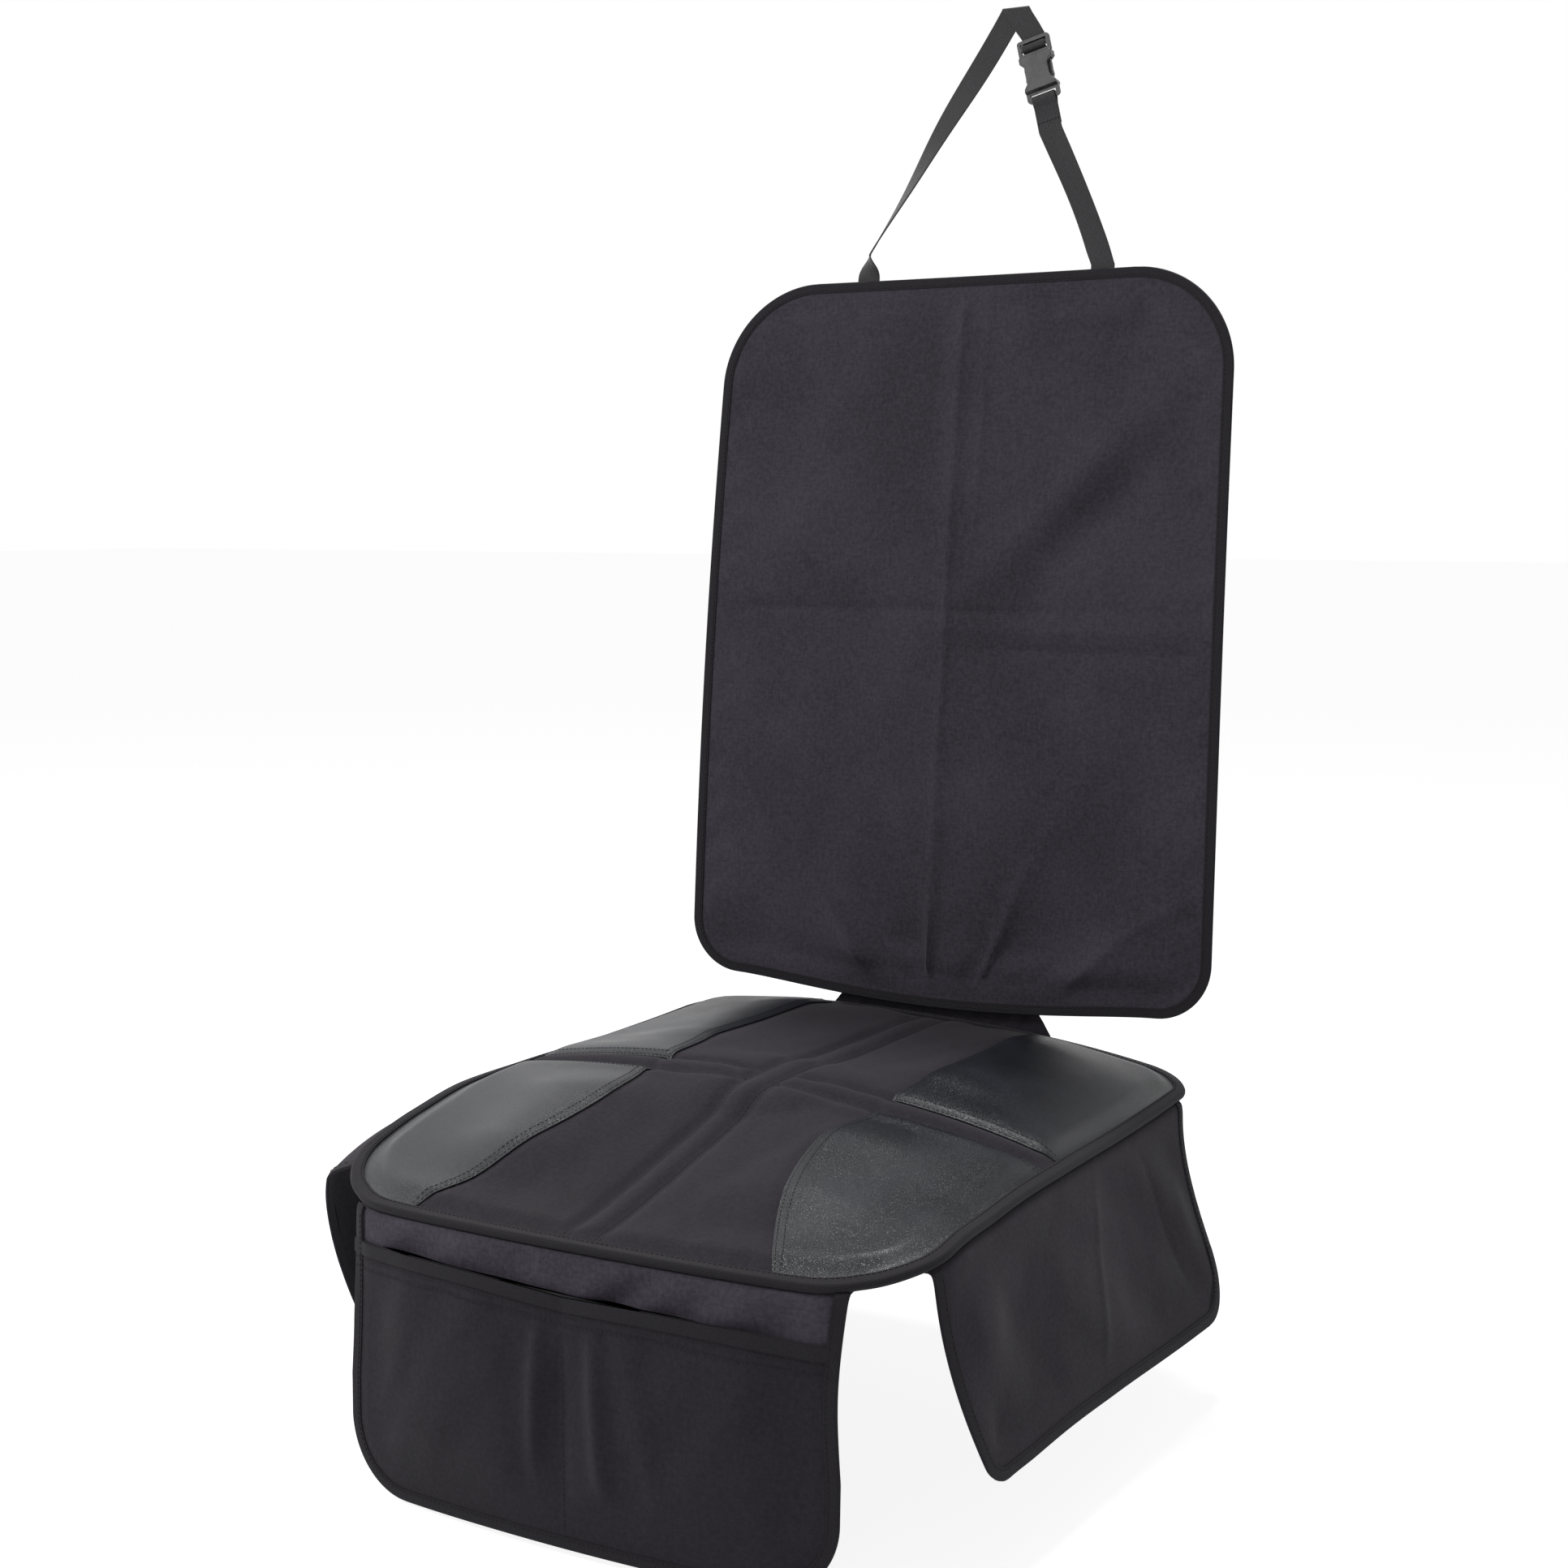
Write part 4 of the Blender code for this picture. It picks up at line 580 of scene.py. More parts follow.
OXFORD_PANEL = woven("oxford_cloth_panel", (0.016, 0.014, 0.0193), (0.052, 0.0455, 0.0600), 0.82, 0.06)
OXFORD_SEAT = woven("oxford_cloth_seat", (0.007, 0.0058, 0.0082), (0.024, 0.0200, 0.0285), 0.84, 0.04)
OXFORD_FLAP = woven("oxford_cloth_flap", (0.010, 0.0085, 0.012), (0.031, 0.027, 0.036), 0.84, 0.05)
# Painted light: the front flap gets the flaps' cloth made about twice as light, standing in for the light on
# its upper part, which faces up.
OXFORD_FLAP_PAINTED_LIGHT = woven("oxford_cloth_flap_painted_light", (0.021, 0.0185, 0.025), (0.062, 0.055, 0.073), 0.84, 0.05)
OXFORD_POCKET = woven("oxford_cloth_pocket", (0.008, 0.007, 0.0095), (0.024, 0.021, 0.028), 0.84, 0.04)
TAPE_FINISH = ribbed("binding_tape_twill", (0.006, 0.005, 0.007), (0.019, 0.017, 0.022), 0.80,
                     0.0011, 0.0008, 0.04)
WEBBING_FINISH = ribbed("webbing_ribs", (0.012, 0.012, 0.013), (0.044, 0.044, 0.047), 0.62,
                        0.0019, 0.0013, 0.12)
LEATHER = leather_look()
PLASTIC = moulded()
NON_SLIP = dotted_rubber()
THREAD_FINISH = thread_finish()


# Seat pad

def corner_at(y):
    return PAD_FRONT_CORNER if y < 0.0 else PAD_CORNER


def pad_width(y):
    """Half width of the pad at a row, with its corners rounded."""
    return PAD_W - corner_cut(min(y - PAD_FRONT, PAD_REAR - y), corner_at(y))


def pad_plan(x, y):
    """From the straight cut to the pad's plan, with round corners and a bowed front."""
    width = pad_width(y)
    steady = PAD_W * PAD_STEADY
    if abs(x) > steady:
        share = (abs(x) - steady) / (PAD_W - steady)
        x = math.copysign(steady + share * (width - steady), x)
    return x, y - bow_at(x, y)


def bow_at(x, y):
    fade = smooth((PAD_REAR - y) / (PAD_REAR - PAD_FRONT)) ** 3
    return PAD_BOW * max(1.0 - (x / (PAD_W * 0.85)) ** 2, 0.0) * fade


def unbowed(x, y):
    """Row of the straight cut over a point in plan."""
    row = y
    for _ in range(3):
        row = y + bow_at(x, row)
    return row


def pad_base(x, y):
    """Height of the pad's underside. The cushion under it leans a little to the right."""
    lean = PAD_LEAN * smooth((y + 0.25) / 0.18)
    height = mix(through(PAD_MIDDLE, y), through(PAD_SIDE, y) + lean * PAD_W, (abs(x) / PAD_W) ** 2.4)
    ridge = 0.010 * smooth((-0.03 - y) / 0.06) * smooth((y + 0.2155) / 0.06)
    ridge += 0.007 * smooth((y - 0.02) / 0.06) * smooth((0.274 - y) / 0.06)
    height += ridge * bell(abs(x) - 0.105, 0.05)
    return height * smooth((math.hypot(x, y) - 0.030) / 0.042) - lean * x


def over_pad(x, y, lift):
    """Point over the pad's underside, lifted along its normal."""
    step = 0.001
    slope_x = (pad_base(x + step, y) - pad_base(x - step, y)) / (2 * step)
    slope_y = (pad_base(x, y + step) - pad_base(x, y - step)) / (2 * step)
    normal = Vector((-slope_x, -slope_y, 1.0)).normalized()
    return Vector((x, y, pad_base(x, y))) + normal * lift


def patch_edge(row):
    """Inner edge of the corner patches on the straight cut."""
    start = BAND_Y - BAND
    edge = PATCH_REAR_EDGE - PATCH_WAIST * smooth((start - row) / (start - PATCH_WAIST_ROW))
    edge += PATCH_SWEEP * (max(PATCH_WAIST_ROW - row, 0.0) / (PATCH_WAIST_ROW - PAD_FRONT)) ** 1.7
    steady = PAD_W * PAD_STEADY
    if edge <= steady:
        return edge
    return steady + (edge - steady) * (PAD_W - steady) / (pad_width(row) - steady)


def row_depth(x, row):
    """Distance inside the pad's edge, on its straight cut."""
    return edge_distance(PAD_W - abs(x), min(row - PAD_FRONT, PAD_REAR - row), corner_at(row))


def padding(x, y):
    """Thickness of padding and cover over the backing, with its sewn dips and soft swelling."""
    row = unbowed(x, y)
    rise = smooth((row_depth(x, row) - LIP) / 0.018)
    to_line = min(abs(abs(x) - BAND), abs(abs(row - BAND_Y) - BAND) if abs(x) > BAND else 1.0)
    dip = 1.0 - 0.55 * bell(to_line, 0.0045) - 0.22 * bell(to_line, 0.014)
    seam = abs(x) - patch_edge(row)
    dip -= 0.20 * bell(seam, 0.004)
    share = mix(0.12, 1.0, rise) * mix(1.0, dip, rise)
    soft = 0.0007 * uneven(x * 14.0, row * 11.0, 3.1) * rise
    drag = 0.00080 * wrinkle(x, row) * rise * smooth((0.004 - seam) / 0.012)
    return FOAM * share + soft + drag


def wrinkle(x, row):
    """Fine drag lines of the cover, mostly towards the neck and beside the middle band."""
    lean = x * 55.0 + row * 22.0
    fine = uneven(lean, row * 9.0, 7.7)
    wander = 2.0 * uneven(x * 12.0, row * 12.0, 1.0)
    rear = bell(row - 0.25, 0.07) * math.sin(x * 95.0 + wander)
    pull = uneven((x - 0.35 * row) * 42.0, (row + 0.35 * x) * 7.0, 2.6)
    return 0.9 * fine + 1.3 * rear * bell(x, 0.11) + 0.9 * pull


def pad_top(x, y):
    """Face of the cover."""
    return over_pad(x, y, BACKING + GAP + padding(x, y) + COVER + GAP)


def pad_spot(x, y):
    return over_pad(x, y, 0.0)


def pad_flat(s, t):
    return pad_plan(mix(-PAD_W, PAD_W, s), mix(PAD_FRONT, PAD_REAR, t))


def make_pad():
    columns, rows = ends_dense(120), ends_dense(140)
    pad = cloth_grid("seat_pad", pad_flat, pad_top, columns, rows, OXFORD_SEAT, 0.0, 0.0,
                     ("seat_cover", "seat_foam"))
    under = cloth_grid("seat_pad_base", pad_flat, lambda x, y: over_pad(x, y, BACKING + GAP), columns, rows,
                       OXFORD_SEAT, 0.0, 0.0)
    under.data.flip_normals()
    only(pad)
    under.select_set(True)
    bpy.ops.object.join()
    rework(pad.data, lambda bm: bmesh.ops.bridge_loops(bm, edges=border(bm)))
    backing = cloth_grid("seat_backing_dotted", pad_flat, pad_spot, columns, rows, NON_SLIP, BACKING, 1.0,
                         ("seat_backing",))


def patch_top(x, y):
    swell = 0.0006 * smooth((row_depth(x, unbowed(x, y)) - LIP) / 0.02)
    return over_pad(x, y, BACKING + GAP + padding(x, y) + COVER + GAP + PATCH + swell)


def make_patches():
    for end, first, last, area in (("front", PAD_FRONT, BAND_Y - BAND, 0.0285),
                                   ("rear", BAND_Y + BAND, PAD_REAR, 0.0365)):
        for side, word in ((-1.0, "left"), (1.0, "right")):
            def flat(s, t):
                row = mix(first, last, t)
                inner = patch_edge(row)
                return pad_plan(side * mix(inner, PAD_W, s), row)

            fine = steps(0.0, 1.0, 46)
            node = f"corner_patch_{end}_{word}"
            piece = cloth_grid(node + "_grained", flat, patch_top, fine, ends_dense(56), LEATHER, PATCH,
                               -side, (node,))
            for inset in (0.0022, 0.0072):
                near = first + LIP + 0.001 if end == "front" else first + inset
                far = last - inset if end == "front" else last - LIP - 0.001
                seam = [pad_plan(side * (patch_edge(r) + inset), r) for r in steps(near, far, 60)]
                sew(seam, patch_top, 0.0, 1.0)
                level = far if end == "front" else near
                reach = PAD_W - LIP - 0.001
                seam = [pad_plan(side * x, level) for x in steps(patch_edge(level) + inset, reach, 30)]
                sew(seam, patch_top, 0.0, 1.0)


def make_pad_sewing():
    outline = whole_outline(pad_flat)
    tape("seat_binding_folded", outline, pad_spot, EDGE_STACK, EDGE_STACK, True, 1.0, 1.0, ("seat_binding",))
    sew_tape(outline, lambda x, y: over_pad(x, y, EDGE_STACK + 0.0011), 0.0, 1.0, True, 1.0)
    for side in (-1.0, 1.0):
        for inset in (-0.0016, 0.0016):
            rows = steps(PAD_FRONT + LIP, PAD_REAR - LIP, 200)
            sew([pad_plan(side * (BAND + inset), r) for r in rows], pad_top, 0.0, 1.0)
    for level in (BAND_Y - BAND, BAND_Y + BAND):
        for side in (-1.0, 1.0):
            edge = patch_edge(level)
            across = [pad_plan(side * x, level) for x in steps(BAND + 0.002, edge, 60)]
            sew(across, pad_top, 0.0, 1.0)


# Back panel

def panel_width(v):
    return PANEL_W - PANEL_TAPER * max(v / PANEL_H, 0.0) ** 1.5


def foot_dip(x):
    """How much lower the panel's foot hangs over the neck."""
    return PANEL_DIP * max(1.0 - (x / PANEL_DIP_HALF) ** 2, 0.0) ** 1.4


def panel_plan(x, v):
    cut = corner_cut(v, PANEL_FOOT_R) + corner_cut(PANEL_H - v, PANEL_TOP_R)
    x = x * (panel_width(v) - cut) / PANEL_W
    return x, v - foot_dip(x) * smooth(1.0 - v / (0.35 * PANEL_H))


def on_panel(x, v, behind=0.0):
    y, z = PANEL_FOOT
    y += v * math.sin(LEAN) + behind * math.cos(LEAN)
    z += v * math.cos(LEAN) - behind * math.sin(LEAN)
    return Vector((x, y, z))


def panel_ahead(x, v):
    belly = PANEL_BELLY * math.sin(math.pi * min(max(v / PANEL_H, 0.0), 1.0))
    return belly + PANEL_CURL * (x / PANEL_W) ** 2


def panel_depth(x, v):
    """Distance inside the panel's edge."""
    to_side = panel_width(v) - abs(x)
    low = v + foot_dip(x) * smooth(1.0 - v / (0.35 * PANEL_H))
    return min(edge_distance(to_side, low, PANEL_FOOT_R), edge_distance(to_side, PANEL_H - v, PANEL_TOP_R))


def panel_relief(x, v):
    """Packing creases, gathers over the neck and slack ripples."""
    wobble = 0.0015 * uneven(v * 9.0, 0.0, 5.0)
    upright = x + 0.004 + 0.010 * smooth((0.6 - v) / 0.6) * 0.4 + wobble
    high = smooth((v - 0.33) / 0.05)
    ridge = 0.0030 * math.exp(-abs(upright) / 0.005) + 0.0020 * smooth((upright + 0.02) / 0.02) * high
    ridge -= 0.0020 * smooth(upright / 0.10) * high
    ridge += 0.0012 * math.exp(-abs(upright - 0.022) / 0.004) * high
    left_level = v - UPPER_LEVEL - 0.0014 * uneven(x * 12.0, 0.0, 9.0)
    low_level = v - LOWER_LEVEL - 0.0016 * uneven(x * 10.0, 4.0, 9.0)
    level = -0.0034 * math.exp(-abs(left_level) / 0.005) * (1.0 - 0.5 * smooth(x / 0.1))
    level -= 0.0036 * math.exp(-abs(low_level) / 0.006) * smooth((x + 0.03) / 0.12)
    level += 0.0024 * math.exp(-abs(v - 0.304) / 0.009) * smooth((x + 0.05) / 0.1)
    angle = math.atan2(x - 0.004, v + 0.06)
    near = math.exp(-max(v - 0.01, 0.0) / 0.085) * smooth((v + 0.005) / 0.04)
    gathers = 0.0075 * math.sin(7.0 * angle + 0.6) * near
    sharp = abs(math.sin(5.5 * angle + 0.9 + 0.6 * uneven(x * 10.0, v * 8.0, 2.0)))
    fade = math.exp(-max(v - 0.02, 0.0) / 0.07) * smooth((v + 0.002) / 0.03)
    gathers += 0.0075 * (1.0 - sharp) ** 3 * fade
    lean = 0.8 * x + 0.6 * v
    slack = uneven(lean * 13.0 + 1.5, (0.6 * x - 0.8 * v) * 4.0, 0.4)
    ripple = 0.0120 * slack * smooth((x + 0.02) / 0.12) * smooth((v - 0.30) / 0.08)
    ripple += 0.0026 * uneven(x * 9.0, v * 7.0, 6.2)
    ripple += 0.0009 * uneven(x * 30.0, v * 24.0, 2.2)
    edge = panel_depth(x, v) - LIP
    tug = math.sin(v * 150.0 + 3.0 * uneven(v * 20.0, x, 0.0))
    tug *= 0.0009 * bell(edge - 0.01, 0.012)
    inside = smooth(edge / 0.030)
    across, along = 0.707 * (x - 0.11 - (v - 0.41)), 0.707 * (x - 0.11 + v - 0.41)
    slanted = 0.0062 * (bell(across + 0.012, 0.019) - bell(across - 0.020, 0.021)) * bell(along, 0.105)
    relief = (ridge + level + gathers + ripple + slanted) * inside + tug * smooth(edge / 0.008)
    held = smooth((0.045 - v) / 0.02) * smooth((0.115 - abs(x)) / 0.02)
    for sewn in (STRAP_LEFT, STRAP_RIGHT):
        held = max(held, smooth((v - PANEL_H + 0.055) / 0.02) * smooth((0.045 - abs(x - sewn)) / 0.02))
    return mix(relief, max(relief, 0.0), held)


def panel_face(x, v):
    return on_panel(x, v, -panel_ahead(x, v) - panel_relief(x, v))


def panel_flat(s, t):
    return panel_plan(mix(-PANEL_W, PANEL_W, s), mix(0.0, PANEL_H, t))


def make_panel():
    piece = cloth_grid("back_panel_cloth", panel_flat, panel_face, ends_dense(150), ends_dense(190),
                       OXFORD_PANEL, PANEL_THICK, -1.0, ("back_panel",))
    outline = whole_outline(panel_flat)
    tape("back_binding_folded", outline, panel_face, 0.0, PANEL_THICK, True, 1.0, 1.0, ("back_binding",))
    sew_tape(outline, panel_face, 0.0010, 1.0, True, 1.0)
    for span in (-0.05, 0.05):
        sew([(x, 0.003 - foot_dip(x)) for x in steps(span - 0.03, span + 0.03, 10)], panel_face, 0.0010, 1.0)


def make_neck():
    """Short gathered cloth from behind the panel's foot to under the pad's rear edge."""
    behind = PANEL_THICK + 0.0016
    beside = 0.0016

    def spot(a, b):
        """a from -1 to 1 across, b from 0 at the panel to 8 under the pad."""
        top_x, foot_x = a * 0.083, a * 0.099
        back = Vector((0.0, behind, 0.0))
        seam = on_panel(top_x, 0.014, -panel_ahead(top_x, 0.014)) + back
        hem = on_panel(top_x, 0.0, -panel_ahead(top_x, 0.0)) + back
        edge = over_pad(foot_x, PAD_REAR, 0.0)
        edge_top = edge + Vector((0.0, beside, EDGE_STACK + 0.0007))
        middle = hem.lerp(edge_top, 0.6) + Vector((0.0, 0.0010, 0.0))
        turn = edge + Vector((0.0, 0.5 * beside, -1.1 * UNDER))
        route = [seam, hem, hem.lerp(middle, 0.5), middle, edge_top, edge + Vector((0.0, beside, 0.0)), turn,
                 over_pad(foot_x, PAD_REAR - 0.002, -UNDER), over_pad(foot_x, PAD_REAR - TONGUE, -UNDER)]
        at = min(int(b), 7)
        point = route[at].lerp(route[at + 1], b - at)
        pleat = 0.0016 * math.sin(a * 26.0 + 2.0 * uneven(a * 4.0, 0.0, 1.0))
        return point + Vector((0.0, pleat * bell(b - 2.4, 1.5), 0.0))

    piece = cloth_grid("neck_web_gathered", lambda s, t: (2.0 * s - 1.0, 8.0 * t), spot, steps(0.0, 1.0, 90),
                       steps(0.0, 1.0, 48), OXFORD_FLAP, CLOTH, 1.0, ("neck_web",))
    for layer in piece.data.uv_layers:
        for corner in layer.data:
            corner.uv = (corner.uv[0] * 0.09, corner.uv[1] * 0.008)


# Side flaps

def side_lines(drop):
    """Front and rear lines of a side flap, before its corners are rounded."""
    down = max(drop, 0.0)
    front = SIDE_Y0 + SIDE_SWEEP * (down / SIDE_DROP) ** 2.2
    return front, SIDE_Y1 + SIDE_SHOULDER * math.exp(-down / SIDE_SHOULDER)


def side_depth(y, drop):
    front, rear = side_lines(drop)
    return min(edge_distance(y - front, SIDE_DROP - drop, SIDE_R0),
               edge_distance(rear - y, SIDE_DROP - drop, SIDE_R1))


def side_ends(drop):
    front, rear = side_lines(drop)
    return front + corner_cut(SIDE_DROP - drop, SIDE_R0), rear - corner_cut(SIDE_DROP - drop, SIDE_R1)


def side_face(side, bend):
    """Outer face of a side flap over (y, drop)."""
    def spot(y, drop):
        edge = over_pad(side * pad_width(y), y, -UNDER)
        if drop <= 0.0:
            return edge + Vector((side * drop, 0.0, 0.0))
        turned = bend * (1.0 - math.exp(-drop / bend))
        down = drop / SIDE_DROP
        back = (y - SIDE_Y0) / (SIDE_Y1 - SIDE_Y0)
        flare = mix(0.022, 0.052, back) if side > 0.0 else mix(0.002, 0.040, back)
        flare *= down ** 1.3
        if side < 0.0:
            flare += 0.017 * smooth(down / 0.16) * smooth((1.1 - down) / 0.9)
        inside = smooth((side_depth(y, drop) - LIP) / 0.03)
        fan = math.sin(9.0 * (back - 0.45) / (0.35 + 0.65 * down) + 0.8)
        wave = 0.0030 * fan * smooth(down / 0.5)
        lean = uneven(back * 7.0 - down * 1.6, down * 1.3, side * 3.0)
        wave += 0.0042 * lean * smooth(down / 0.4)
        crease = math.exp(-abs(back - 0.62 + 0.16 * down) / 0.012)
        crease -= 0.8 * math.exp(-abs(back - 0.80 - 0.10 * down) / 0.014)
        wave += 0.0015 * crease * smooth(down / 0.3) * smooth((1.0 - down) / 0.3)
        wave += 0.0005 * uneven(y * 40.0, drop * 40.0, side)
        return edge + Vector((side * (turned + flare + wave * inside), 0.0, -(drop - 0.8 * turned)))
    return spot


def make_side_flap(side, word, bend):
    spot = side_face(side, bend)

    def at(s, drop):
        return mix(*side_ends(drop), s), drop

    rows = steps(0.0, 0.85, 44) + [0.9, 0.94, 0.965, 0.98, 0.99, 0.996, 1.0]
    piece = cloth_grid(f"side_flap_{word}_cloth", lambda s, t: at(s, mix(-0.006, SIDE_DROP, t)), spot,
                       ends_dense(110), rows, OXFORD_FLAP, CLOTH, side, (f"side_flap_{word}",))
    outline = hung_outline(at, 0.003, SIDE_DROP)
    tape(f"side_flap_binding_{word}_folded", outline, spot, 0.0, CLOTH, False, -1.0, -side,
         (f"side_flap_binding_{word}",))
    sew_tape(outline, spot, 0.0010, -side, False, -1.0)


# Front flap and pocket

def front_side(drop):
    return FRONT_W - FRONT_WAIST * math.sin(math.pi * min(max(drop, 0.0) / (0.6 * FRONT_DROP), 1.0))


def front_half(drop):
    return front_side(drop) - corner_cut(FRONT_DROP - drop, FRONT_R)


def front_depth(x, drop):
    centre = -FRONT_SLANT * drop / FRONT_DROP
    return edge_distance(front_side(drop) - abs(x - centre), FRONT_DROP - drop, FRONT_R)


def front_edge(x, depth, rounded=1.0):
    setback = rounded * corner_cut(PAD_W - abs(x), PAD_FRONT_CORNER)
    return over_pad(x, PAD_FRONT - bow_at(x, PAD_FRONT) + setback + depth, -UNDER)


def front_face(x, drop):
    """Outer face of the front flap over (x, drop)."""
    if drop <= 0.0:
        return front_edge(x, -drop)
    above = front_edge(x, 0.0, 1.0 - smooth(drop / 0.08))
    turned = FRONT_TURN * (1.0 - math.exp(-drop / FRONT_TURN))
    inside = smooth((front_depth(x, drop) - LIP) / 0.022)
    upper = smooth((FRONT_DROP - POCKET_DEPTH + 0.012 - drop) / 0.02)
    slant = 0.0016 * math.sin(70.0 * (x + 0.5 * drop)) * smooth(drop / 0.02) * upper
    fold = uneven(x * 32.0 + drop * 40.0, drop * 12.0, 4.4)
    slant += (0.0030 + 0.0030 * bell(x - 0.02, 0.06)) * fold * smooth(drop / 0.012) * upper
    slant += 0.0004 * uneven(x * 45.0, drop * 45.0, 8.0)
    return Vector((x, above.y - turned - slant * inside, above.z - (drop - 0.8 * turned)))


def front_at(s, drop):
    return mix(-1.0, 1.0, s) * front_half(drop) - FRONT_SLANT * max(drop, 0.0) / FRONT_DROP, drop


def mouth_at(x):
    raised = mix(0.014, 0.005, (x + FRONT_W) / (2.0 * FRONT_W))
    straight = 0.0045 * abs(math.sin(math.pi * (x - POCKET_SEAM) / FRONT_W))
    return FRONT_DROP - POCKET_DEPTH + 0.003 - raised - straight


def pocket_lift(x, drop):
    """Distance of the pocket's outer face from the flap: two bellies and upright folds beside the seam."""
    inside = smooth((front_depth(x, drop) - LIP) / 0.008)
    half = FRONT_W - 2.0 * LIP
    off = x - POCKET_SEAM
    end = math.copysign(half, off)
    across = math.sin(math.pi * min(max(off / (end - POCKET_SEAM), 0.0), 1.0)) ** 0.8
    down = (drop - mouth_at(x)) / POCKET_DEPTH
    belly = POCKET_BELLY * across * (1.0 - 0.35 * smooth(down / 0.5)) * mix(0.45, 1.0, smooth(down / 0.3))
    fold = 0.0042 * bell(off + 0.016 + 0.006 * down, 0.0065)
    fold += 0.0052 * bell(off - 0.024 - 0.010 * down, 0.0075)
    fold += 0.0022 * bell(off - 0.046 - 0.03 * down, 0.010)
    fold -= 0.0015 * bell(off + 0.042 - 0.02 * down, 0.012)
    fold *= smooth((down + 0.02) / 0.2) * smooth((0.92 - down) / 0.4)
    soft = 0.0046 * uneven(x * 17.0, drop * 9.0, 5.5) * across
    soft += 0.0020 * uneven(x * 42.0 + drop * 20.0, drop * 16.0, 1.5)
    seam = 1.0 - bell(off, 0.0035) * smooth((down - 0.06) / 0.12)
    fade = smooth((front_depth(x, drop) - 1.1 * LIP) / 0.05)
    raised = belly * fade + (fold + soft) * fade * smooth((down + 0.03) / 0.1)
    return 2.0 * GAP + CLOTH + 0.0010 * inside + raised * seam


def pocket_face(x, drop):
    side_x = min(max(x, -FRONT_W + 0.004), FRONT_W - 0.004)
    normal = -normal_of(front_smooth, side_x, min(max(drop, 0.004), FRONT_DROP - 0.002))
    return front_smooth(x, drop) + normal * pocket_lift(x, drop)


def front_smooth(x, drop):
    """The flap's face without its small folds."""
    above = front_edge(x, 0.0, 1.0 - smooth(drop / 0.08))
    turned = FRONT_TURN * (1.0 - math.exp(-drop / FRONT_TURN))
    return Vector((x, above.y - turned, above.z - (drop - 0.8 * turned)))


def make_front_flap():
    rows = steps(0.0, 0.84, 52) + [0.88, 0.92, 0.95, 0.97, 0.985, 0.994, 1.0]
    # The front flap's cloth carries painted light: its colour is the flap cloth made about twice as light.
    piece = cloth_grid("front_flap_cloth", lambda s, t: front_at(s, mix(-0.006, FRONT_DROP, t)), front_face,
                       ends_dense(120), rows, OXFORD_FLAP_PAINTED_LIGHT, CLOTH, 1.0, ("front_flap",))

    def pocket_flat(s, t):
        x, drop = front_at(s, mix(FRONT_DROP - POCKET_DEPTH, FRONT_DROP, t))
        low = mouth_at(x) - (FRONT_DROP - POCKET_DEPTH)
        return x, drop + low * (1.0 - t) ** 2

    pocket = cloth_grid("pocket_panel_cloth", pocket_flat, pocket_face, ends_dense(160), rows, OXFORD_POCKET,
                        CLOTH, 1.0, ("pocket_panel",))
    outline = hung_outline(front_at, 0.002, FRONT_DROP)
    both = CLOTH + GAP + CLOTH + GAP
    tape("front_flap_binding_folded", outline, front_face, CLOTH + 2 * GAP, both, False, -1.0, -1.0,
         ("front_flap_binding",))
    sew_tape(outline, front_face, CLOTH + 2 * GAP + 0.0010, -1.0, False, -1.0)
    reach = FRONT_W - 0.0035
    mouth = [(x, mouth_at(x)) for x in steps(-reach - 0.003, reach - 0.003, 300)]
    tape("pocket_hem_folded", mouth, pocket_face, 0.0, CLOTH, False, -1.0, -1.0, ("pocket_hem",),
         0.0095, 0.0009)
    for inset in (0.0016, 0.0078):
        line = [(a, b + inset) for a, b in mouth[3:-3]]
        sew(line, pocket_face, 0.0011, -1.0)
    seam = [(POCKET_SEAM, d) for d in steps(mouth_at(0.0) + 0.001, FRONT_DROP - LIP, 60)]
    sew(seam, pocket_face, 0.0, -1.0)


# Strap

def strap_behind(x, v=PANEL_H):
    return PANEL_THICK + GAP + 0.0007 + 0.0006 + WEB_THICK / 2 - panel_ahead(x, v)


REACH = 0.0016 + GAP + WEB_THICK / 2
BUCKLE_BEHIND = strap_behind(STRAP_LEFT) - 2.0 * FOLD - REACH


def buckle_place(x, z):
    """Where a point of the buckle is over the panel."""
    cos, sin = math.cos(BUCKLE_TILT), math.sin(BUCKLE_TILT)
    return BUCKLE_AT[0] + x * cos - z * sin, BUCKLE_AT[1] + x * sin + z * cos


def on_buckle(x, y, z):
    return on_panel(*buckle_place(x, z), BUCKLE_BEHIND + y)


def station(x, v, behind, lean, turn=0.0, shear=0.0):
    half = WEB / 2
    across = (math.cos(lean) * math.cos(turn), -math.sin(lean) * math.cos(turn))
    slide = shear * math.tan(lean) * half
    along = (math.sin(lean), math.cos(lean))
    edges = []
    for side in (-1.0, 1.0):
        edges.append(on_panel(x + side * (half * across[0] + slide * along[0]),
                              v + side * (half * across[1] + slide * along[1]),
                              behind + side * half * math.sin(turn)))
    return tuple(edges)


def in_buckle(y, z):
    return on_buckle(-WEB / 2, y, z), on_buckle(WEB / 2, y, z)


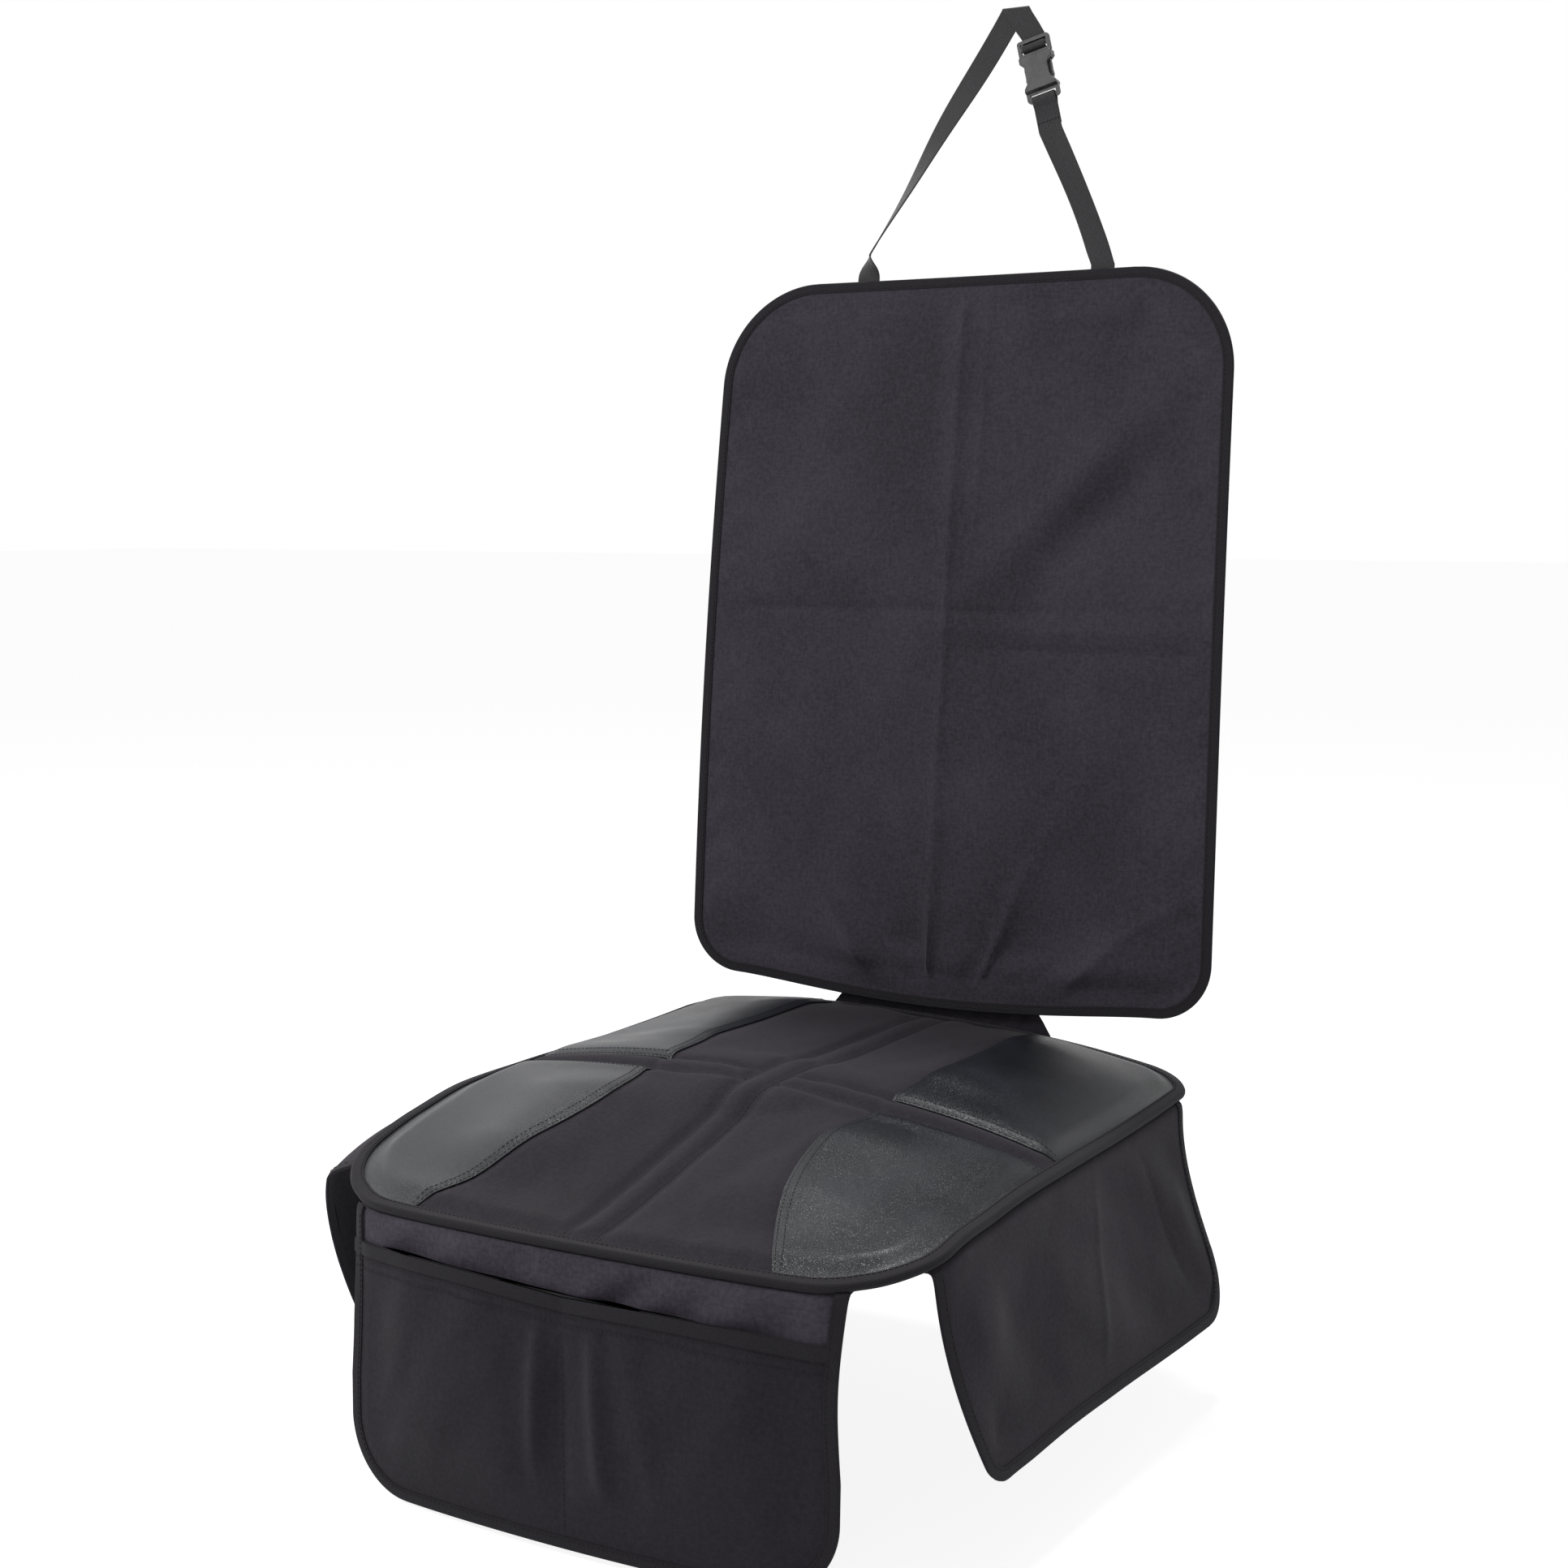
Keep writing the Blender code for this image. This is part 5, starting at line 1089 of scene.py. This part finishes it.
def upper_route():
    """Left leg, the fold over the top and the way through the plug's two slots."""
    apex_x, apex_v = APEX
    back = strap_behind(STRAP_LEFT)
    turn_most = math.radians(-62)
    free, start = PANEL_H + 0.003, PANEL_H + 0.024
    lean = math.atan2(apex_x - STRAP_LEFT, apex_v - start)
    tail = PANEL_H - 0.026
    found = [station(STRAP_LEFT, tail, strap_behind(STRAP_LEFT, tail), 0.0)]
    found.append(station(STRAP_LEFT, free, back, 0.0))
    for share in steps(0.0, 1.0, 12)[1:]:
        found.append(station(STRAP_LEFT, mix(free, start, share), back, lean * share ** 2,
                             turn_most * smooth(share)))
    for share in steps(0.0, 0.94, 60)[1:]:
        sway = 0.0012 * math.sin(math.pi * share) * math.sin(9.0 * share)
        found.append(station(mix(STRAP_LEFT, apex_x, share) + sway, mix(start, apex_v, share), back, lean,
                             turn_most * (1.0 - smooth(share / 0.85)), smooth((share - 0.82) / 0.10)))
    half_fold = WEB / 2 / math.cos(lean)
    for angle in steps(0.0, math.pi, 10):
        x = apex_x + (angle / math.pi - 0.5) * math.pi * FOLD * math.tan(lean)
        behind = back - FOLD + FOLD * math.cos(angle)
        v = apex_v + FOLD * (math.sin(angle) - 1.0)
        found.append((on_panel(x - half_fold, v, behind), on_panel(x + half_fold, v, behind)))
    top = 0.029
    entry = buckle_place(0.0, top)
    for share in (0.2, 0.3, 0.4, 0.5, 0.6, 0.7, 0.8, 0.9):
        turned = mix(-lean, -BUCKLE_TILT, smooth((share - 0.4) / 0.6))
        found.append(station(mix(apex_x, entry[0], share), mix(apex_v, entry[1], share), back - 2.0 * FOLD,
                             turned, 0.0, 1.0 - smooth((share - 0.2) / 0.6)))
    high, low = 0.0224, 0.0170
    tail_y = 0.0045 + GAP + WEB_THICK / 2 + 0.0002
    route = [(REACH, top), (REACH, high + 0.0012), (0.0016, high + 0.0003), (-0.0016, high - 0.0003),
             (-REACH, high - 0.0012), (-REACH, low + 0.0012), (-0.0016, low + 0.0003),
             (0.0016, low - 0.0003), (REACH, low - 0.0012), (tail_y - 0.0014, 0.0146), (tail_y, 0.0129),
             (tail_y, 0.0086), (tail_y, -0.0115)]
    return found + [in_buckle(y, z) for y, z in route]


def lower_route():
    """Right leg: the sewn loop through the socket's foot, and down behind the panel."""
    foot = -0.0256
    bar = foot + 0.0032
    reach = 0.0017 + GAP + WEB_THICK / 2 + 0.0001
    over = bar + GAP + WEB_THICK / 2 + 0.0001
    side = GAP / 2 + WEB_THICK / 2 + 0.00002
    sewn = foot - 0.022
    route = [(side, sewn), (side, foot - 0.006), (0.6 * reach, foot - 0.0035), (reach, foot - 0.0005),
             (reach, bar - 0.001), (0.92 * reach, bar + 0.0003), (0.62 * reach, over)]
    route += [(-y, z) for y, z in reversed(route)] + [(-side, sewn - 0.004)]
    found = [in_buckle(y, z) for y, z in route]
    low = sewn - 0.004
    start = buckle_place(0.0, low)
    end = PANEL_H + 0.004
    lean = math.atan2(start[0] - STRAP_RIGHT, start[1] - end)
    for share in steps(0.0, 1.0, 40)[1:]:
        here = mix(-BUCKLE_TILT, mix(lean, 0.0, smooth((share - 0.8) / 0.2)), smooth(share / 0.25))
        behind = mix(BUCKLE_BEHIND - side, strap_behind(STRAP_RIGHT), smooth(share / 0.9))
        bulge = 0.0022 * math.sin(math.pi * share)
        found.append(station(mix(start[0], STRAP_RIGHT, share) + bulge, mix(start[1], end, share), behind,
                             here, math.radians(-14) * math.sin(math.pi * share)))
    tail = PANEL_H - 0.026
    found.append(station(STRAP_RIGHT, tail, strap_behind(STRAP_RIGHT, tail), 0.0))
    return found


def webbing(name, stations, node):
    """Woven strap: flat with soft thick edges."""
    across = [-1.0, -0.93, -0.8, -0.5, 0.0, 0.5, 0.8, 0.93, 1.0]
    run = [0.0]
    for (l0, r0), (l1, r1) in zip(stations, stations[1:]):
        run.append(run[-1] + ((l1 + r1) / 2 - (l0 + r0) / 2).length)

    def spot(a, b):
        left, right = stations[int(round(b))]
        return left.lerp(right, a / 2 + 0.5)

    last = len(stations) - 1
    piece = cloth_grid(name, lambda s, t: (2.0 * s - 1.0, t * last), spot, [a / 2 + 0.5 for a in across],
                       steps(0.0, 1.0, last), WEBBING_FINISH, WEB_THICK, 0.0, (node,))
    layer = piece.data.uv_layers[0]
    for corner in layer.data:
        at = min(max(int(round(corner.uv[1])), 0), len(run) - 1)
        corner.uv = (corner.uv[0] * WEB / 2, run[at])
    rounded = piece.modifiers.new("edges", "BEVEL")
    rounded.width = 0.0004
    rounded.segments = 2
    rounded.limit_method = "ANGLE"
    rounded.angle_limit = math.radians(60)
    apply_all(piece)


def make_strap():
    webbing("strap_upper_webbing", upper_route(), "strap_upper")
    webbing("strap_lower_webbing", lower_route(), "strap_lower")
    half = 0.0085                   # of the sewn boxes and rows across the webbing
    for row in (-0.0275, -0.0305, -0.0440):
        for face in (-1.0, 1.0):
            def loop_face(a, b):
                return on_buckle(a, face * (GAP / 2 + WEB_THICK + 0.0001), b)
            sew([(x, row) for x in steps(-half, half, 8)], loop_face, 0.0, 1.0, pitch=0.0024, length=0.002)
    for x0 in (STRAP_LEFT, STRAP_RIGHT):
        def back_face(a, b):
            return on_panel(a, b, strap_behind(x0, b) + WEB_THICK / 2 + 0.0001)
        low, high = PANEL_H - 0.023, PANEL_H - 0.004
        box = [(x0 - half, low), (x0 + half, low), (x0 + half, high), (x0 - half, high)]
        for line in (box, box[0::2], box[1::2]):
            sew(line, back_face, 0.0, -1.0, line is box, 0.0028, 0.0022)


def finish_buckle():
    for name in ("buckle_plug", "buckle_socket"):
        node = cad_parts[name]
        for i in range(max(len(node.material_slots), 1)):
            if i < len(node.material_slots):
                node.material_slots[i].material = PLASTIC
            else:
                node.data.materials.append(PLASTIC)


# Room, light and camera

def pale_room():
    """Floor under the mat, and a pale world; both show white to the camera and keep the shadow."""
    floor_z = cad_box[0][2] - 0.0015
    bpy.ops.object.select_all(action="DESELECT")
    bpy.ops.mesh.primitive_plane_add(size=60.0, location=(0.0, 0.0, floor_z))
    floor = bpy.context.active_object
    floor.name = "floor"
    n = Finish("floor_pale", (0.86, 0.86, 0.86), 0.9, 0.0)
    matt = n.add("BsdfDiffuse", Color=(0.30, 0.30, 0.30, 1.0))
    glow = n.add("Emission", Strength=0.88)
    both = n.add("AddShader")
    n.link(matt.outputs[0], both.inputs[0])
    n.link(glow.outputs[0], both.inputs[1])
    choice = n.add("MixShader")
    n.link(n.seen(), choice.inputs["Fac"])
    n.link(n.shader.outputs[0], choice.inputs[1])
    n.link(both.outputs[0], choice.inputs[2])
    n.link(choice.outputs[0], n.tree.nodes["Material Output"].inputs["Surface"])
    floor.data.materials.append(n.material)
    world = bpy.data.worlds.new("studio")
    bpy.context.scene.world = world
    world.use_nodes = True
    n = Tree(world.node_tree)
    background = n.tree.nodes["Background"]
    background.inputs["Color"].default_value = (1.0, 1.0, 1.0, 1.0)
    background.inputs["Strength"].default_value = 0.30
    white = n.add("Background", Color=(1.0, 1.0, 1.0, 1.0), Strength=1.0)
    pick = n.add("MixShader")
    n.link(n.seen(), pick.inputs["Fac"])
    n.link(background.outputs[0], pick.inputs[1])
    n.link(white.outputs[0], pick.inputs[2])
    n.link(pick.outputs[0], n.tree.nodes["World Output"].inputs["Surface"])


def lamp(name, place, target, size, power):
    light = bpy.data.lights.new(name, "AREA")
    light.shape = "RECTANGLE"
    light.size, light.size_y = size
    light.energy = power
    item = bpy.data.objects.new(name, light)
    bpy.context.scene.collection.objects.link(item)
    item.location = place
    item.rotation_euler = (Vector(target) - Vector(place)).to_track_quat("-Z", "Y").to_euler()


def light_and_camera():
    lamp("window_left", (-1.9, -1.5, 2.2), (0.0, 0.0, 0.25), (1.2, 1.0), 62.0)
    lamp("fill_front", (1.3, -2.2, 0.45), (0.0, 0.0, 0.1), (1.4, 1.0), 7.5)
    lamp("top_rear", (-0.15, 0.95, 2.4), (0.1, -0.1, 0.0), (0.5, 0.35), 38.0)
    lamp("rim_left", (-2.2, 1.2, 0.9), (-0.1, 0.0, 0.0), (0.8, 0.8), 4.0)
    camera = bpy.data.cameras.new("camera")
    camera.sensor_width = 36.0
    camera.lens = 36.0 * 2756.8 / 1932.0
    camera.clip_end = 200.0
    item = bpy.data.objects.new("camera", camera)
    bpy.context.scene.collection.objects.link(item)
    item.location = (0.7741, -1.3883, 0.4111)
    item.rotation_euler = (math.radians(90.0 - 6.9084), 0.0, math.radians(28.8914))
    bpy.context.scene.camera = item
    bpy.context.scene.view_settings.view_transform = "Standard"


make_pad()
make_patches()
make_pad_sewing()
make_panel()
make_neck()
make_side_flap(1.0, "right", 0.004)
make_side_flap(-1.0, "left", 0.014)
make_front_flap()
make_strap()
finish_sewing("stitches", THREAD_FINISH)
finish_buckle()
pale_room()
light_and_camera()
